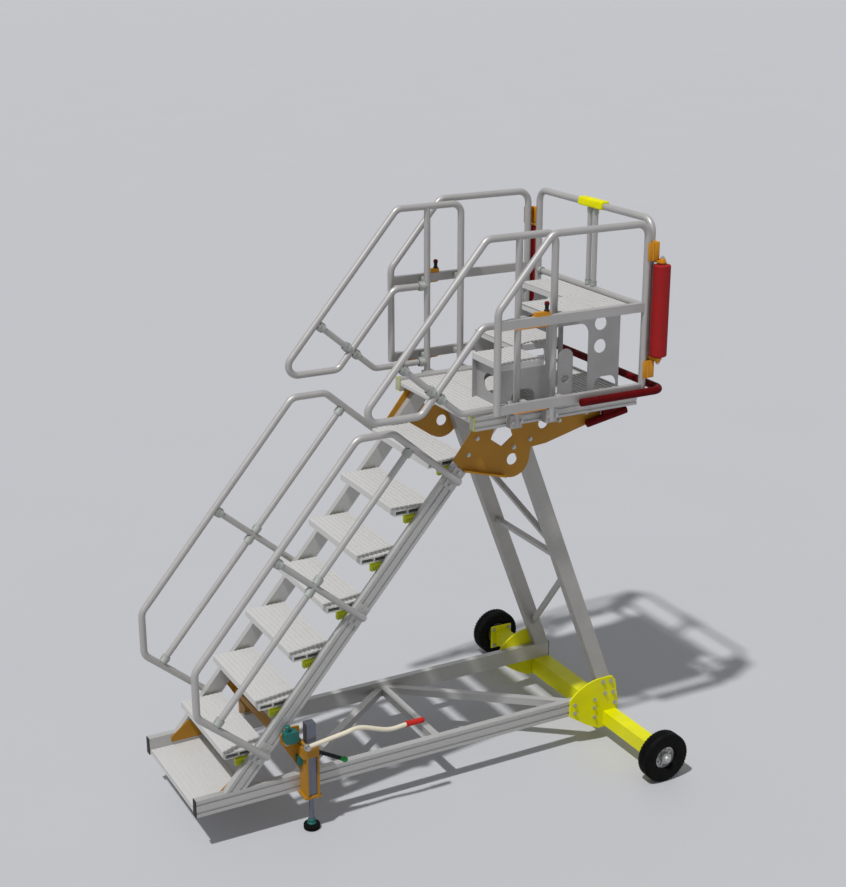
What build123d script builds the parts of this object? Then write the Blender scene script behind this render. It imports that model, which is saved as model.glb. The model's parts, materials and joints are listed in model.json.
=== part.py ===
"""Mobile maintenance access platform: wheeled base, stair, guarded deck and jacks.

X runs from the stair foot to the wheels, Y across, Z up, in millimetres, floor at Z = 0.
"""
import os
from math import cos, radians, sin, tan

from build123d import *

os.makedirs("parts", exist_ok=True)

SIDES = (("near", -1), ("far", 1))

# Base
FOOT_X = -1400.5            # front ends of the base rails
RAIL_OUT = 400.0            # half width over the rails and stringers
RAIL_WIDTH = 40.0
RAIL_IN = RAIL_OUT - RAIL_WIDTH
RAIL_BOTTOM, RAIL_TOP = 215.0, 315.0
RAIL_LENGTH = 2706.0
GROOVE, GROOVE_DEPTH = 14.0, 6.0
STEP_TOP, STEP_THICK, STEP_DEPTH = 243.0, 28.0, 345.0
BRACE = 44.0
CAP = 5.0                   # thickness of end caps

# Stair
PITCH = 49.5                # stair angle in degrees
RISE = 242.0
RUN = RISE / tan(radians(PITCH))
TREADS = 7
TREAD_X, TREAD_Z = FOOT_X + 193.0, 517.0     # front edge and top of the first tread
TREAD_DEPTH, TREAD_THICK = 245.0, 36.0
TREAD_CLEAR = 20.0          # between a tread end and its stringer
TREAD_HALF = RAIL_IN - TREAD_CLEAR
STAIR_X, STAIR_Z = FOOT_X + 202.0, 403.0     # a point of the stair's pitch line
STRINGER_BACK = 30.0        # from the pitch line to the stringers' front edge
STRINGER_DEPTH = 92.0
CLIP_LAP, CLIP_HANG, CLIP_TAIL = 8.0, 42.0, 50.0
CLIP_IN = TREAD_HALF - CLIP_LAP
CLIP_SET_BACK = 55.0        # from the front edge of a tread to its clips
CLIP_DROP = 5.0             # from the top of a tread to the tails of its clips
CELLS, CELL_PITCH = 3, 79.0     # hollow cells of a tread
CELL_WIDTH, CELL_HEIGHT = 70.0, 20.0

# Deck
DECK_TOP = TREAD_Z + TREADS * RISE
DECK_THICK = 40.0
DECK_X0, DECK_X1 = FOOT_X + 1655.0, FOOT_X + 2720.0
DECK_RAIL_TOP, DECK_RAIL_BOTTOM = DECK_TOP + 12.0, DECK_TOP - 66.0
DECK_RAIL_OUT = 460.0
PLATE = 8.0

# Wheels and axle
AXLE_X = FOOT_X + RAIL_LENGTH - 50.0
WHEEL_R, WHEEL_WIDTH = 150.0, 88.0
WHEEL_Y = 952.0
RIM_R, RIM_HALF = 72.0, 18.0
HUB_R, DISH = 32.0, 8.0
SPINDLE_R = 15.0
RUNNING = 0.05              # radial play of a turning bore
STUB, BEAM = 90.0, 110.0
FLANGE, FLANGE_THICK = 150.0, 12.0
FLANGE_Y = 868.0
AXLE_PLATE = 10.0

# Legs
LEG_DEPTH, LEG_WIDTH = 88.0, 60.0
LEG_FOOT_X, LEG_TOP_X = AXLE_X - 11.0, FOOT_X + 2012.0
LEG_TOP_Z = DECK_TOP - 226.0

# Handrails
TUBE_R = 20.0
BAR_R = 18.0                # tubes that end on another tube
POST_R = 19.0
BEND, LOOP_BEND = 70.0, 60.0
LOWER_Y, UPPER_Y, GUARD_Y = 422.0, 507.0, 610.0
HAND_TOP = DECK_TOP + 987.0
GUARD_TOP = DECK_TOP + 1004.0
GUARD_SLOPE = 383.0         # height of the guards' sloping ends
BAR_WIDTH, BAR_HEIGHT = 30.0, 50.0
MID_BAR_Z, LOW_BAR_Z = DECK_TOP + 546.0, DECK_TOP + 86.0
FRONT_X, FRONT_Y, FRONT_TOP = FOOT_X + 2691.0, 568.0, DECK_TOP + 1013.0
KNEE_Z = DECK_TOP + 524.0
PAD_LENGTH, PAD_WALL = 237.0, 12.0
POST_1_X, POST_2_X = FOOT_X + 1885.0, FOOT_X + 2110.0
GUARD_POST_X, CORNER_X = FOOT_X + 1700.0, FOOT_X + 2635.0

# Rollers and bumpers
ROLLER_X, ROLLER_Y, ROLLER_R = FOOT_X + 2706.0, 652.0, 48.0
ROLLER_Z0, ROLLER_Z1 = DECK_TOP + 267.0, DECK_TOP + 781.0
ROLLER_PIN_R = 10.0
CLAMP_HEIGHT, CLAMP_WIDTH = 130.0, 60.0
ARM, ARM_GAP, ARM_WIDTH = 15.0, 8.0, 44.0    # plates that carry the roller pins
BUMPER_R, BUMPER_Z = 22.0, DECK_TOP + 71.0

# Step unit on the deck
CHEEK_Y, INNER_Y, CHEEK = 380.0, 70.0, 6.0
LOW_STEP_Z, HIGH_STEP_Z = DECK_TOP + 259.0, DECK_TOP + 509.0
PLANK_THICK = 36.0
LOW_X, MIDDLE_X, FAR_X = FOOT_X + 1860.0, FOOT_X + 2150.0, FOOT_X + 2140.0
HIGH_X, CHEEK_END_X, STEP_END_X = FOOT_X + 2460.0, FOOT_X + 2640.0, FOOT_X + 2668.0

# Jacks
JACK_X, JACK_Y = FOOT_X + 640.0, 460.0
COLUMN = 54.0
STEM_R = 14.0
PAD_R, PAD_THICK = 46.0, 30.0
GUSSET, BASE_PLATE = 10.0, 12.0


def keep(piece, name):
    """Labels a finished piece and writes it as its own file."""
    piece.part.label = name
    export_step(piece.part, f"parts/{name}.step")


def side_plane(y):
    """Upright plane along the platform: local x is X, local y is Z."""
    return Plane(origin=(0, y, 0), x_dir=(1, 0, 0), z_dir=(0, -1, 0))


def stair_plane(y):
    """Upright plane in stair directions: local x climbs the pitch line."""
    climb = (cos(radians(PITCH)), 0, sin(radians(PITCH)))
    return Plane(origin=(STAIR_X, y, STAIR_Z), x_dir=climb, z_dir=(0, -1, 0))


def stair_point(along, out):
    """X and Z of a point given in stair directions."""
    c = cos(radians(PITCH))
    s = sin(radians(PITCH))
    return (STAIR_X + along * c - out * s, STAIR_Z + along * s + out * c)


# Base rails with grooved outer faces
for side, sign in SIDES:
    with BuildPart() as base_rail:
        with BuildSketch(Plane.YZ.offset(FOOT_X)):
            with Locations((sign * (RAIL_OUT - RAIL_WIDTH / 2), (RAIL_TOP + RAIL_BOTTOM) / 2)):
                Rectangle(RAIL_WIDTH, RAIL_TOP - RAIL_BOTTOM)
                with Locations((sign * RAIL_WIDTH / 2, 24), (sign * RAIL_WIDTH / 2, -24)):
                    Rectangle(2 * GROOVE_DEPTH, GROOVE, mode=Mode.SUBTRACT)
        extrude(amount=RAIL_LENGTH)
    keep(base_rail, f"base_rail_{side}")

# End caps of the rails
with BuildPart() as rail_caps:
    for side, sign in SIDES:
        for cap_x in (FOOT_X - CAP / 2, FOOT_X + RAIL_LENGTH + CAP / 2):
            with Locations((cap_x, sign * (RAIL_OUT - RAIL_WIDTH / 2), (RAIL_TOP + RAIL_BOTTOM) / 2)):
                Box(CAP, RAIL_WIDTH, RAIL_TOP - RAIL_BOTTOM)
keep(rail_caps, "rail_caps")

# Bottom step between the rails
with BuildPart() as base_step:
    with Locations((FOOT_X + 6 + STEP_DEPTH / 2, 0, STEP_TOP - STEP_THICK / 2)):
        Box(STEP_DEPTH, 2 * RAIL_IN, STEP_THICK)
    with Locations((FOOT_X + 6 + STEP_DEPTH / 2, 0, STEP_TOP)):
        with GridLocations(30, 0, 11, 1):
            Box(8, 2 * RAIL_IN - 24, 6, mode=Mode.SUBTRACT)
keep(base_step, "base_step")

# Cross bars and diagonals between the rails
with BuildPart() as base_braces:
    with BuildSketch(Plane.XY.offset(RAIL_BOTTOM + 25)):
        for x0, y0, x1, y1 in (
            (1500, -RAIL_IN, 1500, RAIL_IN),
            (1480, RAIL_IN, 560, -RAIL_IN),
            (1520, RAIL_IN, RAIL_LENGTH - 266, -RAIL_IN),
        ):
            half = BRACE / 2 if x0 == x1 else BRACE * 0.82
            with BuildLine():
                Polyline(
                    (FOOT_X + x0 - half, y0),
                    (FOOT_X + x0 + half, y0),
                    (FOOT_X + x1 + half, y1),
                    (FOOT_X + x1 - half, y1),
                    close=True,
                )
            make_face()
    extrude(amount=BRACE)
keep(base_braces, "base_braces")

# Plates that tie the stringers to the rails
with BuildPart() as foot_gussets:
    for side, sign in SIDES:
        with BuildSketch(side_plane(sign * (RAIL_IN - 3))):
            with BuildLine():
                Polyline(
                    (FOOT_X + 130, RAIL_TOP - 50),
                    (FOOT_X + 310, RAIL_TOP - 50),
                    (FOOT_X + 310, RAIL_TOP + 60),
                    (FOOT_X + 230, RAIL_TOP + 60),
                    (FOOT_X + 130, RAIL_TOP - 20),
                    close=True,
                )
            make_face()
        extrude(amount=3, both=True)
keep(foot_gussets, "foot_gussets")

# Axle beam with stubs, flanges and spindles
BEAM_BOTTOM = RAIL_BOTTOM - BEAM
with BuildPart() as axle_beam:
    with Locations((AXLE_X, 0, BEAM_BOTTOM + BEAM / 2)):
        Box(BEAM, 2 * RAIL_OUT, BEAM)
    with Locations((AXLE_X, 0, WHEEL_R)):
        Box(STUB, 2 * FLANGE_Y, STUB)
    for side, sign in SIDES:
        with Locations((AXLE_X, sign * (FLANGE_Y + FLANGE_THICK / 2), WHEEL_R)):
            Box(FLANGE, FLANGE_THICK, FLANGE)
        with BuildSketch(side_plane(sign * (FLANGE_Y + FLANGE_THICK))):
            with Locations((AXLE_X, WHEEL_R)):
                Circle(SPINDLE_R)
        extrude(amount=-sign * (WHEEL_Y + WHEEL_WIDTH / 2 + 8 - FLANGE_Y - FLANGE_THICK))
keep(axle_beam, "axle_beam")

# Profiled plates that hang the axle on the rails
with BuildPart() as axle_plates:
    for side, sign in SIDES:
        with BuildSketch(side_plane(sign * (RAIL_OUT + AXLE_PLATE / 2))):
            with BuildLine():
                Polyline(
                    (AXLE_X - 288, RAIL_TOP + 4),
                    (AXLE_X - 288, RAIL_BOTTOM),
                    (AXLE_X - 156, WHEEL_R - 24),
                    (AXLE_X - 76, WHEEL_R - 40 - STUB / 4),
                    (AXLE_X + 56, WHEEL_R - 40 - STUB / 4),
                    (AXLE_X + 56, RAIL_TOP - 60),
                    (AXLE_X + 34, RAIL_TOP + 75),
                    (AXLE_X + 12, RAIL_TOP + 105),
                    (AXLE_X - 96, RAIL_TOP + 105),
                )
                ThreePointArc(
                    (AXLE_X - 96, RAIL_TOP + 105),
                    (AXLE_X - 206, RAIL_TOP + 70),
                    (AXLE_X - 288, RAIL_TOP + 4),
                )
            make_face()
            with Locations((AXLE_X, WHEEL_R)):
                Rectangle(STUB, STUB, mode=Mode.SUBTRACT)
        extrude(amount=AXLE_PLATE / 2, both=True)
keep(axle_plates, "axle_plates")

# Wheels: tyre on a rim with a running bore
for side, sign in SIDES:
    with BuildPart() as tyre:
        with BuildSketch(Plane.YZ.offset(AXLE_X)):
            with Locations((sign * WHEEL_Y, WHEEL_R + (WHEEL_R + RIM_R) / 2)):
                RectangleRounded(WHEEL_WIDTH, WHEEL_R - RIM_R, 26)
        revolve(axis=Axis((AXLE_X, 0, WHEEL_R), (0, 1, 0)))
    keep(tyre, f"tyre_{side}")
    with BuildPart() as rim:
        with BuildSketch(side_plane(sign * WHEEL_Y)):
            with Locations((AXLE_X, WHEEL_R)):
                Circle(RIM_R)
                Circle(SPINDLE_R + RUNNING, mode=Mode.SUBTRACT)
        extrude(amount=RIM_HALF, both=True)
        with BuildSketch(side_plane(sign * (WHEEL_Y + RIM_HALF))):
            with Locations((AXLE_X, WHEEL_R)):
                Circle(RIM_R - 2 * DISH)
        extrude(amount=sign * DISH, mode=Mode.SUBTRACT)
        with BuildSketch(side_plane(sign * WHEEL_Y)):
            with Locations((AXLE_X, WHEEL_R)):
                Circle(HUB_R)
                Circle(SPINDLE_R + RUNNING, mode=Mode.SUBTRACT)
        extrude(amount=WHEEL_WIDTH / 2 - 2, both=True)
    keep(rim, f"rim_{side}")

# Rear legs leaning back to the deck
LEAN = (LEG_TOP_X - LEG_FOOT_X) / (LEG_TOP_Z - RAIL_TOP)
LEG_HALF = LEG_DEPTH / 2 * (1 + LEAN**2) ** 0.5
for side, sign in SIDES:
    with BuildPart() as leg:
        with BuildSketch(side_plane(sign * (RAIL_OUT - LEG_WIDTH / 2))):
            with BuildLine():
                Polyline(
                    (LEG_FOOT_X - LEG_HALF, RAIL_TOP),
                    (LEG_FOOT_X + LEG_HALF, RAIL_TOP),
                    (LEG_TOP_X + LEG_HALF, LEG_TOP_Z),
                    (LEG_TOP_X - LEG_HALF, LEG_TOP_Z),
                    close=True,
                )
            make_face()
        extrude(amount=LEG_WIDTH / 2, both=True)
    keep(leg, f"leg_{side}")

# Zigzag bars between the legs, in the legs' own plane
LEG_IN = RAIL_OUT - LEG_WIDTH
LEG_ANGLE = (1 + LEAN**2) ** 0.5
leg_plane = Plane(
    origin=(LEG_FOOT_X, 0, RAIL_TOP),
    x_dir=(0, -1, 0),
    z_dir=(-1, 0, LEAN),
)
with BuildPart() as leg_braces:
    with BuildSketch(leg_plane):
        for height_0, height_1 in ((1250, 1250), (1120, 500), (1330, 1720)):
            up_0 = (height_0 - RAIL_TOP) * LEG_ANGLE
            up_1 = (height_1 - RAIL_TOP) * LEG_ANGLE
            half = 15 * (1 + ((up_1 - up_0) / (2 * LEG_IN)) ** 2) ** 0.5
            with BuildLine():
                Polyline(
                    (LEG_IN, up_0 - half),
                    (LEG_IN, up_0 + half),
                    (-LEG_IN, up_1 + half),
                    (-LEG_IN, up_1 - half),
                    close=True,
                )
            make_face()
    extrude(amount=15, both=True)
keep(leg_braces, "leg_braces")

# Stair stringers: grooved extrusions between the rails and the deck
DECK_UNDER = DECK_TOP - DECK_THICK
STRINGER_RUN = STRINGER_DEPTH / sin(radians(PITCH))
EDGE_X = STAIR_X + STRINGER_BACK / sin(radians(PITCH))
TOP_X = EDGE_X + (DECK_UNDER - STAIR_Z) / tan(radians(PITCH))
BOTTOM_X = EDGE_X + (RAIL_TOP - STAIR_Z) / tan(radians(PITCH))
GROOVE_LENGTH = (DECK_UNDER - RAIL_TOP) / sin(radians(PITCH)) + 4 * STRINGER_DEPTH
GROOVE_MIDDLE = ((DECK_UNDER + RAIL_TOP) / 2 - STAIR_Z) / sin(radians(PITCH))
STRINGER_MIDDLE = -STRINGER_BACK - STRINGER_DEPTH / 2
for side, sign in SIDES:
    with BuildPart() as stringer:
        with BuildSketch(side_plane(sign * (RAIL_OUT - RAIL_WIDTH / 2))):
            with BuildLine():
                Polyline(
                    (BOTTOM_X, RAIL_TOP),
                    (BOTTOM_X + STRINGER_RUN, RAIL_TOP),
                    (TOP_X + STRINGER_RUN, DECK_UNDER),
                    (TOP_X, DECK_UNDER),
                    close=True,
                )
            make_face()
        extrude(amount=RAIL_WIDTH / 2, both=True)
        with BuildSketch(stair_plane(sign * RAIL_OUT)):
            for shift in (-22, 22):
                with Locations((GROOVE_MIDDLE, STRINGER_MIDDLE + shift)):
                    Rectangle(GROOVE_LENGTH, GROOVE)
        extrude(amount=GROOVE_DEPTH, both=True, mode=Mode.SUBTRACT)
    keep(stringer, f"stringer_{side}")

# Ribbed treads of hollow section
with BuildPart() as treads:
    for number in range(TREADS):
        front = TREAD_X + number * RUN
        top = TREAD_Z + number * RISE
        with Locations((front + TREAD_DEPTH / 2, 0, top - TREAD_THICK / 2)):
            Box(TREAD_DEPTH, 2 * TREAD_HALF, TREAD_THICK)
        with Locations((front + TREAD_DEPTH / 2, 0, top)):
            with GridLocations(28, 0, 8, 1):
                Box(7, 2 * TREAD_HALF, 6, mode=Mode.SUBTRACT)
        with Locations((front + TREAD_DEPTH / 2, 0, top - TREAD_THICK / 2 - 2)):
            with GridLocations(CELL_PITCH, 0, CELLS, 1):
                Box(CELL_WIDTH, 2 * TREAD_HALF, CELL_HEIGHT, mode=Mode.SUBTRACT)
keep(treads, "treads")

# Clips under the tread ends, against the stringers
with BuildPart() as tread_clips:
    for number in range(TREADS):
        start = TREAD_X + number * RUN + CLIP_SET_BACK
        back = TREAD_X + number * RUN + TREAD_DEPTH
        top = TREAD_Z + number * RISE
        for side, sign in SIDES:
            with BuildSketch(side_plane(sign * (CLIP_IN + RAIL_IN) / 2)):
                with BuildLine():
                    Polyline(
                        (start, top - TREAD_THICK),
                        (start, top - TREAD_THICK - CLIP_HANG),
                        (back + CLIP_TAIL, top - TREAD_THICK - CLIP_HANG),
                        (back + CLIP_TAIL, top - CLIP_DROP),
                        (back, top - CLIP_DROP),
                        (back, top - TREAD_THICK),
                        close=True,
                    )
                make_face()
            extrude(amount=(RAIL_IN - CLIP_IN) / 2, both=True)
keep(tread_clips, "tread_clips")

# Plates that carry the deck on stringers and legs, with a bent lip below
LIP, LIP_THICK = 40.0, 8.0
for side, sign in SIDES:
    with BuildPart() as platform_bracket:
        with BuildSketch(side_plane(sign * (RAIL_OUT + PLATE / 2))):
            with BuildLine():
                Polyline(
                    (FOOT_X + 2036, DECK_UNDER - 240),
                    (FOOT_X + 2045, DECK_UNDER - 189),
                    (FOOT_X + 2145, DECK_UNDER - 181),
                    (FOOT_X + 2510, DECK_UNDER - 89),
                    (FOOT_X + 2510, DECK_UNDER),
                    (FOOT_X + 1700, DECK_UNDER),
                    (FOOT_X + 1550, DECK_UNDER - 191),
                    (FOOT_X + 1612, DECK_UNDER - 256),
                    (FOOT_X + 1870, DECK_UNDER - 330),
                )
                ThreePointArc(
                    (FOOT_X + 1870, DECK_UNDER - 330),
                    (FOOT_X + 1988, DECK_UNDER - 328),
                    (FOOT_X + 2036, DECK_UNDER - 240),
                )
            make_face()
            with Locations((FOOT_X + 1926, DECK_UNDER - 241)):
                Circle(34, mode=Mode.SUBTRACT)
            with Locations((FOOT_X + 2124, DECK_UNDER - 62)):
                Circle(32, mode=Mode.SUBTRACT)
            with Locations((FOOT_X + 1858, DECK_UNDER - 82)):
                RegularPolygon(74, 5, rotation=-90, mode=Mode.SUBTRACT)
        extrude(amount=PLATE / 2, both=True)
        with BuildSketch(side_plane(sign * (RAIL_OUT + PLATE))):
            with BuildLine():
                Polyline(
                    (FOOT_X + 1612, DECK_UNDER - 256),
                    (FOOT_X + 1870, DECK_UNDER - 330),
                    (FOOT_X + 1870, DECK_UNDER - 330 + LIP_THICK),
                    (FOOT_X + 1612, DECK_UNDER - 256 + LIP_THICK),
                    close=True,
                )
            make_face()
        extrude(amount=-sign * LIP)
    keep(platform_bracket, f"platform_bracket_{side}")

# Deck: grooved side rails with end caps, and ribbed planks
DECK_RAIL_WIDTH = DECK_RAIL_OUT - RAIL_OUT - PLATE
DECK_RAIL_HEIGHT = DECK_RAIL_TOP - DECK_RAIL_BOTTOM
DECK_RAIL_Y = DECK_RAIL_OUT - DECK_RAIL_WIDTH / 2
DECK_RAIL_Z = DECK_RAIL_TOP - DECK_RAIL_HEIGHT / 2
with BuildPart() as deck_rails:
    for side, sign in SIDES:
        with BuildSketch(Plane.YZ.offset(DECK_X0)):
            with Locations((sign * DECK_RAIL_Y, DECK_RAIL_Z)):
                Rectangle(DECK_RAIL_WIDTH, DECK_RAIL_HEIGHT)
                with Locations((sign * DECK_RAIL_WIDTH / 2, 18), (sign * DECK_RAIL_WIDTH / 2, -18)):
                    Rectangle(2 * GROOVE_DEPTH, GROOVE, mode=Mode.SUBTRACT)
        extrude(amount=DECK_X1 - DECK_X0)
keep(deck_rails, "deck_rails")
with BuildPart() as deck_clips:
    for side, sign in SIDES:
        with Locations((DECK_X0 - CAP / 2, sign * DECK_RAIL_Y, DECK_RAIL_Z)):
            Box(CAP, DECK_RAIL_WIDTH, DECK_RAIL_HEIGHT)
keep(deck_clips, "deck_clips")
PLANKS, NOSE_R = 4, 14.0
PLANK = (DECK_X1 - DECK_X0) / PLANKS
with BuildPart() as deck_planks:
    for number in range(PLANKS):
        with Locations((DECK_X0 + (number + 0.5) * PLANK, 0, DECK_TOP - DECK_THICK / 2)):
            Box(PLANK - 4, 2 * (RAIL_OUT + PLATE), DECK_THICK)
        with Locations((DECK_X0 + (number + 0.5) * PLANK, 0, DECK_TOP)):
            with GridLocations(30, 0, 8, 1):
                Box(7, 2 * (RAIL_OUT + PLATE), 6, mode=Mode.SUBTRACT)
    fillet(deck_planks.edges().filter_by(Axis.Y).group_by(Axis.X)[0], NOSE_R)
keep(deck_planks, "deck_planks")

# Lower handrails: frames of round tube square to the stair, with saddles on the stringers
HAND_OUT, HAND_MID = 583.0, 281.0
HAND_BARS = (195.0, 1100.0, 2000.0)
CLAMP_OUT = -108.0
SADDLE = -CLAMP_OUT - STRINGER_BACK
foot_x, foot_z = stair_point(HAND_BARS[0], 406)
rail_x, rail_z = stair_point(412, HAND_OUT)
peak_x, peak_z = stair_point(HAND_BARS[2], 425)
turn_x = STAIR_X + (peak_z - STAIR_Z - HAND_OUT / cos(radians(PITCH))) / tan(radians(PITCH))
for side, sign in SIDES:
    y = sign * LOWER_Y
    outer = (
        stair_point(HAND_BARS[0], CLAMP_OUT),
        (foot_x, foot_z),
        (foot_x, rail_z - 20),
        (turn_x, peak_z),
        (peak_x, peak_z),
        stair_point(HAND_BARS[2], CLAMP_OUT),
    )
    middle = (stair_point(HAND_BARS[0], HAND_MID), stair_point(HAND_BARS[2], HAND_MID))
    across = (stair_point(HAND_BARS[1], CLAMP_OUT), stair_point(HAND_BARS[1], HAND_OUT))
    with BuildPart() as lower_handrail:
        with BuildLine(side_plane(y)) as outer_path:
            FilletPolyline(*outer, radius=BEND)
        with BuildSketch(outer_path.line ^ 0):
            Circle(TUBE_R)
        sweep(path=outer_path.line)
        for start, end in (middle, across):
            with BuildLine(side_plane(y)) as bar_path:
                Line(start, end)
            with BuildSketch(bar_path.line ^ 0):
                Circle(BAR_R)
            sweep(path=bar_path.line)
        for along in HAND_BARS:
            with BuildSketch(stair_plane(sign * RAIL_OUT)):
                with Locations((along, CLAMP_OUT + SADDLE / 2)):
                    Rectangle(2 * BAR_R, SADDLE)
            extrude(amount=-sign * (LOWER_Y - RAIL_OUT))
    keep(lower_handrail, f"lower_handrail_{side}")

# Upper handrails: one bent tube, a brace, two posts with feet on the deck rails
UPPER_OUT, UPPER_MID = 685.0, 397.0
LOOP_Z, LOW_RAIL_Z, MID_RAIL_Z = DECK_TOP + 89.0, DECK_TOP + 64.0, DECK_TOP + 522.0
BRACE_ALONG = 2290.0
POST_FOOT = DECK_RAIL_BOTTOM + 10


def at_height(out, height):
    """Point at a height on a line parallel to the stringers' front edge."""
    x, z = stair_point(0, out)
    return (x + (height - z) / tan(radians(PITCH)), height)


for side, sign in SIDES:
    y = sign * UPPER_Y
    loop = (
        (POST_2_X, POST_FOOT),
        (POST_2_X, HAND_TOP),
        at_height(UPPER_OUT, HAND_TOP),
        at_height(UPPER_OUT, LOOP_Z),
        at_height(UPPER_MID, LOOP_Z),
        at_height(UPPER_MID, MID_RAIL_Z),
        (POST_1_X, MID_RAIL_Z),
    )
    brace_x, brace_z = stair_point(BRACE_ALONG, 0)
    low_x = brace_x - (LOW_RAIL_Z - brace_z) * tan(radians(PITCH))
    brace = (
        stair_point(BRACE_ALONG, UPPER_OUT),
        (low_x, LOW_RAIL_Z),
        (POST_1_X, LOW_RAIL_Z),
    )
    with BuildPart() as upper_handrail:
        for route, radius in ((loop, TUBE_R), (brace, BAR_R)):
            with BuildLine(side_plane(y)) as loop_path:
                FilletPolyline(*route, radius=LOOP_BEND)
            with BuildSketch(loop_path.line ^ 0):
                Circle(radius)
            sweep(path=loop_path.line)
        with BuildSketch(Plane.XY.offset(POST_FOOT)):
            with Locations((POST_1_X, y)):
                Circle(POST_R)
        extrude(amount=HAND_TOP - POST_FOOT)
        for post_x in (POST_1_X, POST_2_X):
            inner = UPPER_Y - TUBE_R - DECK_RAIL_OUT
            with Locations((post_x, sign * (DECK_RAIL_OUT + inner), DECK_RAIL_TOP - 40)):
                Box(70, 2 * inner, 76)
    keep(upper_handrail, f"upper_handrail_{side}")

# Side guards: outer frames of round tube with rectangular bars
for side, sign in SIDES:
    y = sign * GUARD_Y
    frame = (
        (GUARD_POST_X, LOW_BAR_Z - BAR_HEIGHT / 2),
        (GUARD_POST_X, GUARD_TOP - GUARD_SLOPE),
        (GUARD_POST_X + GUARD_SLOPE / tan(radians(PITCH)), GUARD_TOP),
        (CORNER_X, GUARD_TOP),
        (CORNER_X, LOW_BAR_Z - BAR_HEIGHT / 2),
    )
    with BuildPart() as side_guard:
        with BuildLine(side_plane(y)) as frame_path:
            FilletPolyline(*frame, radius=BEND)
        with BuildSketch(frame_path.line ^ 0):
            Circle(TUBE_R)
        sweep(path=frame_path.line)
        for bar_z in (MID_BAR_Z, LOW_BAR_Z):
            with Locations(((GUARD_POST_X + CORNER_X) / 2, y, bar_z)):
                Box(CORNER_X - GUARD_POST_X, BAR_WIDTH, BAR_HEIGHT)
    keep(side_guard, f"side_guard_{side}")

# Lock blocks between the handrail posts and the guard bars
LOCK = 56.0
STRIP_X = FOOT_X + 1900.0
with BuildPart() as guard_locks:
    inner, outer = UPPER_Y + POST_R - 8, GUARD_Y - BAR_WIDTH / 2
    for side, sign in SIDES:
        for post_x in (POST_1_X, POST_2_X):
            radius = POST_R if post_x == POST_1_X else TUBE_R
            for bar_z in (MID_BAR_Z, LOW_BAR_Z):
                with Locations((post_x + LOCK / 2, sign * (inner + outer) / 2, bar_z)):
                    Box(LOCK, outer - inner, BAR_HEIGHT)
            with Locations((post_x, sign * UPPER_Y, DECK_TOP)):
                Cylinder(radius, 4 * (GUARD_TOP - DECK_TOP), mode=Mode.SUBTRACT)
        for bar_z in (MID_BAR_Z, LOW_BAR_Z):
            with Locations((STRIP_X, sign * GUARD_Y, bar_z - BAR_HEIGHT / 2 - 3)):
                Box(216, BAR_WIDTH - 6, 6)
keep(guard_locks, "guard_locks")

# Toggle clamps on the middle bars
TOGGLE, TOGGLE_RISE = 90.0, 24.0
KNOB_R, KNOB_RISE = 9.0, 46.0
with BuildPart() as guard_toggles:
    for side, sign in SIDES:
        base_z = MID_BAR_Z + BAR_HEIGHT / 2
        with Locations((STRIP_X + 70, sign * GUARD_Y, base_z + TOGGLE_RISE / 2)):
            Box(TOGGLE, BAR_WIDTH - 6, TOGGLE_RISE)
        with Locations((STRIP_X + 98, sign * GUARD_Y, base_z + TOGGLE_RISE + KNOB_RISE / 2)):
            Cylinder(KNOB_R, KNOB_RISE)
keep(guard_toggles, "guard_toggles")

# Front guard: bent tube with a knee rail and a double centre post
CENTRE_Y, CENTRE_R = 28.0, 15.0
with BuildPart() as front_guard:
    with BuildLine(Plane.YZ.offset(FRONT_X)) as front_path:
        FilletPolyline(
            (-FRONT_Y, LOW_BAR_Z + 40),
            (-FRONT_Y, FRONT_TOP),
            (FRONT_Y, FRONT_TOP),
            (FRONT_Y, LOW_BAR_Z + 40),
            radius=BEND,
        )
    with BuildSketch(front_path.line ^ 0):
        Circle(TUBE_R)
    sweep(path=front_path.line)
    with BuildSketch(Plane.XZ.offset(-FRONT_Y)):
        with Locations((FRONT_X, KNEE_Z)):
            Circle(BAR_R)
    extrude(amount=2 * FRONT_Y)
    with BuildSketch(Plane.XY.offset(KNEE_Z)):
        with Locations((FRONT_X, -CENTRE_Y), (FRONT_X, CENTRE_Y)):
            Circle(CENTRE_R)
    extrude(amount=FRONT_TOP - KNEE_Z)
keep(front_guard, "front_guard")

# Sleeve pad on the middle of the front bar, cut for the centre posts
with BuildPart() as front_pad:
    with BuildSketch(Plane.XZ.offset(-PAD_LENGTH / 2)):
        with Locations((FRONT_X, FRONT_TOP)):
            Circle(TUBE_R + PAD_WALL)
            Circle(TUBE_R, mode=Mode.SUBTRACT)
    extrude(amount=PAD_LENGTH)
    with BuildSketch(Plane.XY.offset(KNEE_Z)):
        with Locations((FRONT_X, -CENTRE_Y), (FRONT_X, CENTRE_Y)):
            Circle(CENTRE_R)
    extrude(amount=FRONT_TOP - KNEE_Z, mode=Mode.SUBTRACT)
keep(front_pad, "front_pad")

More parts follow.
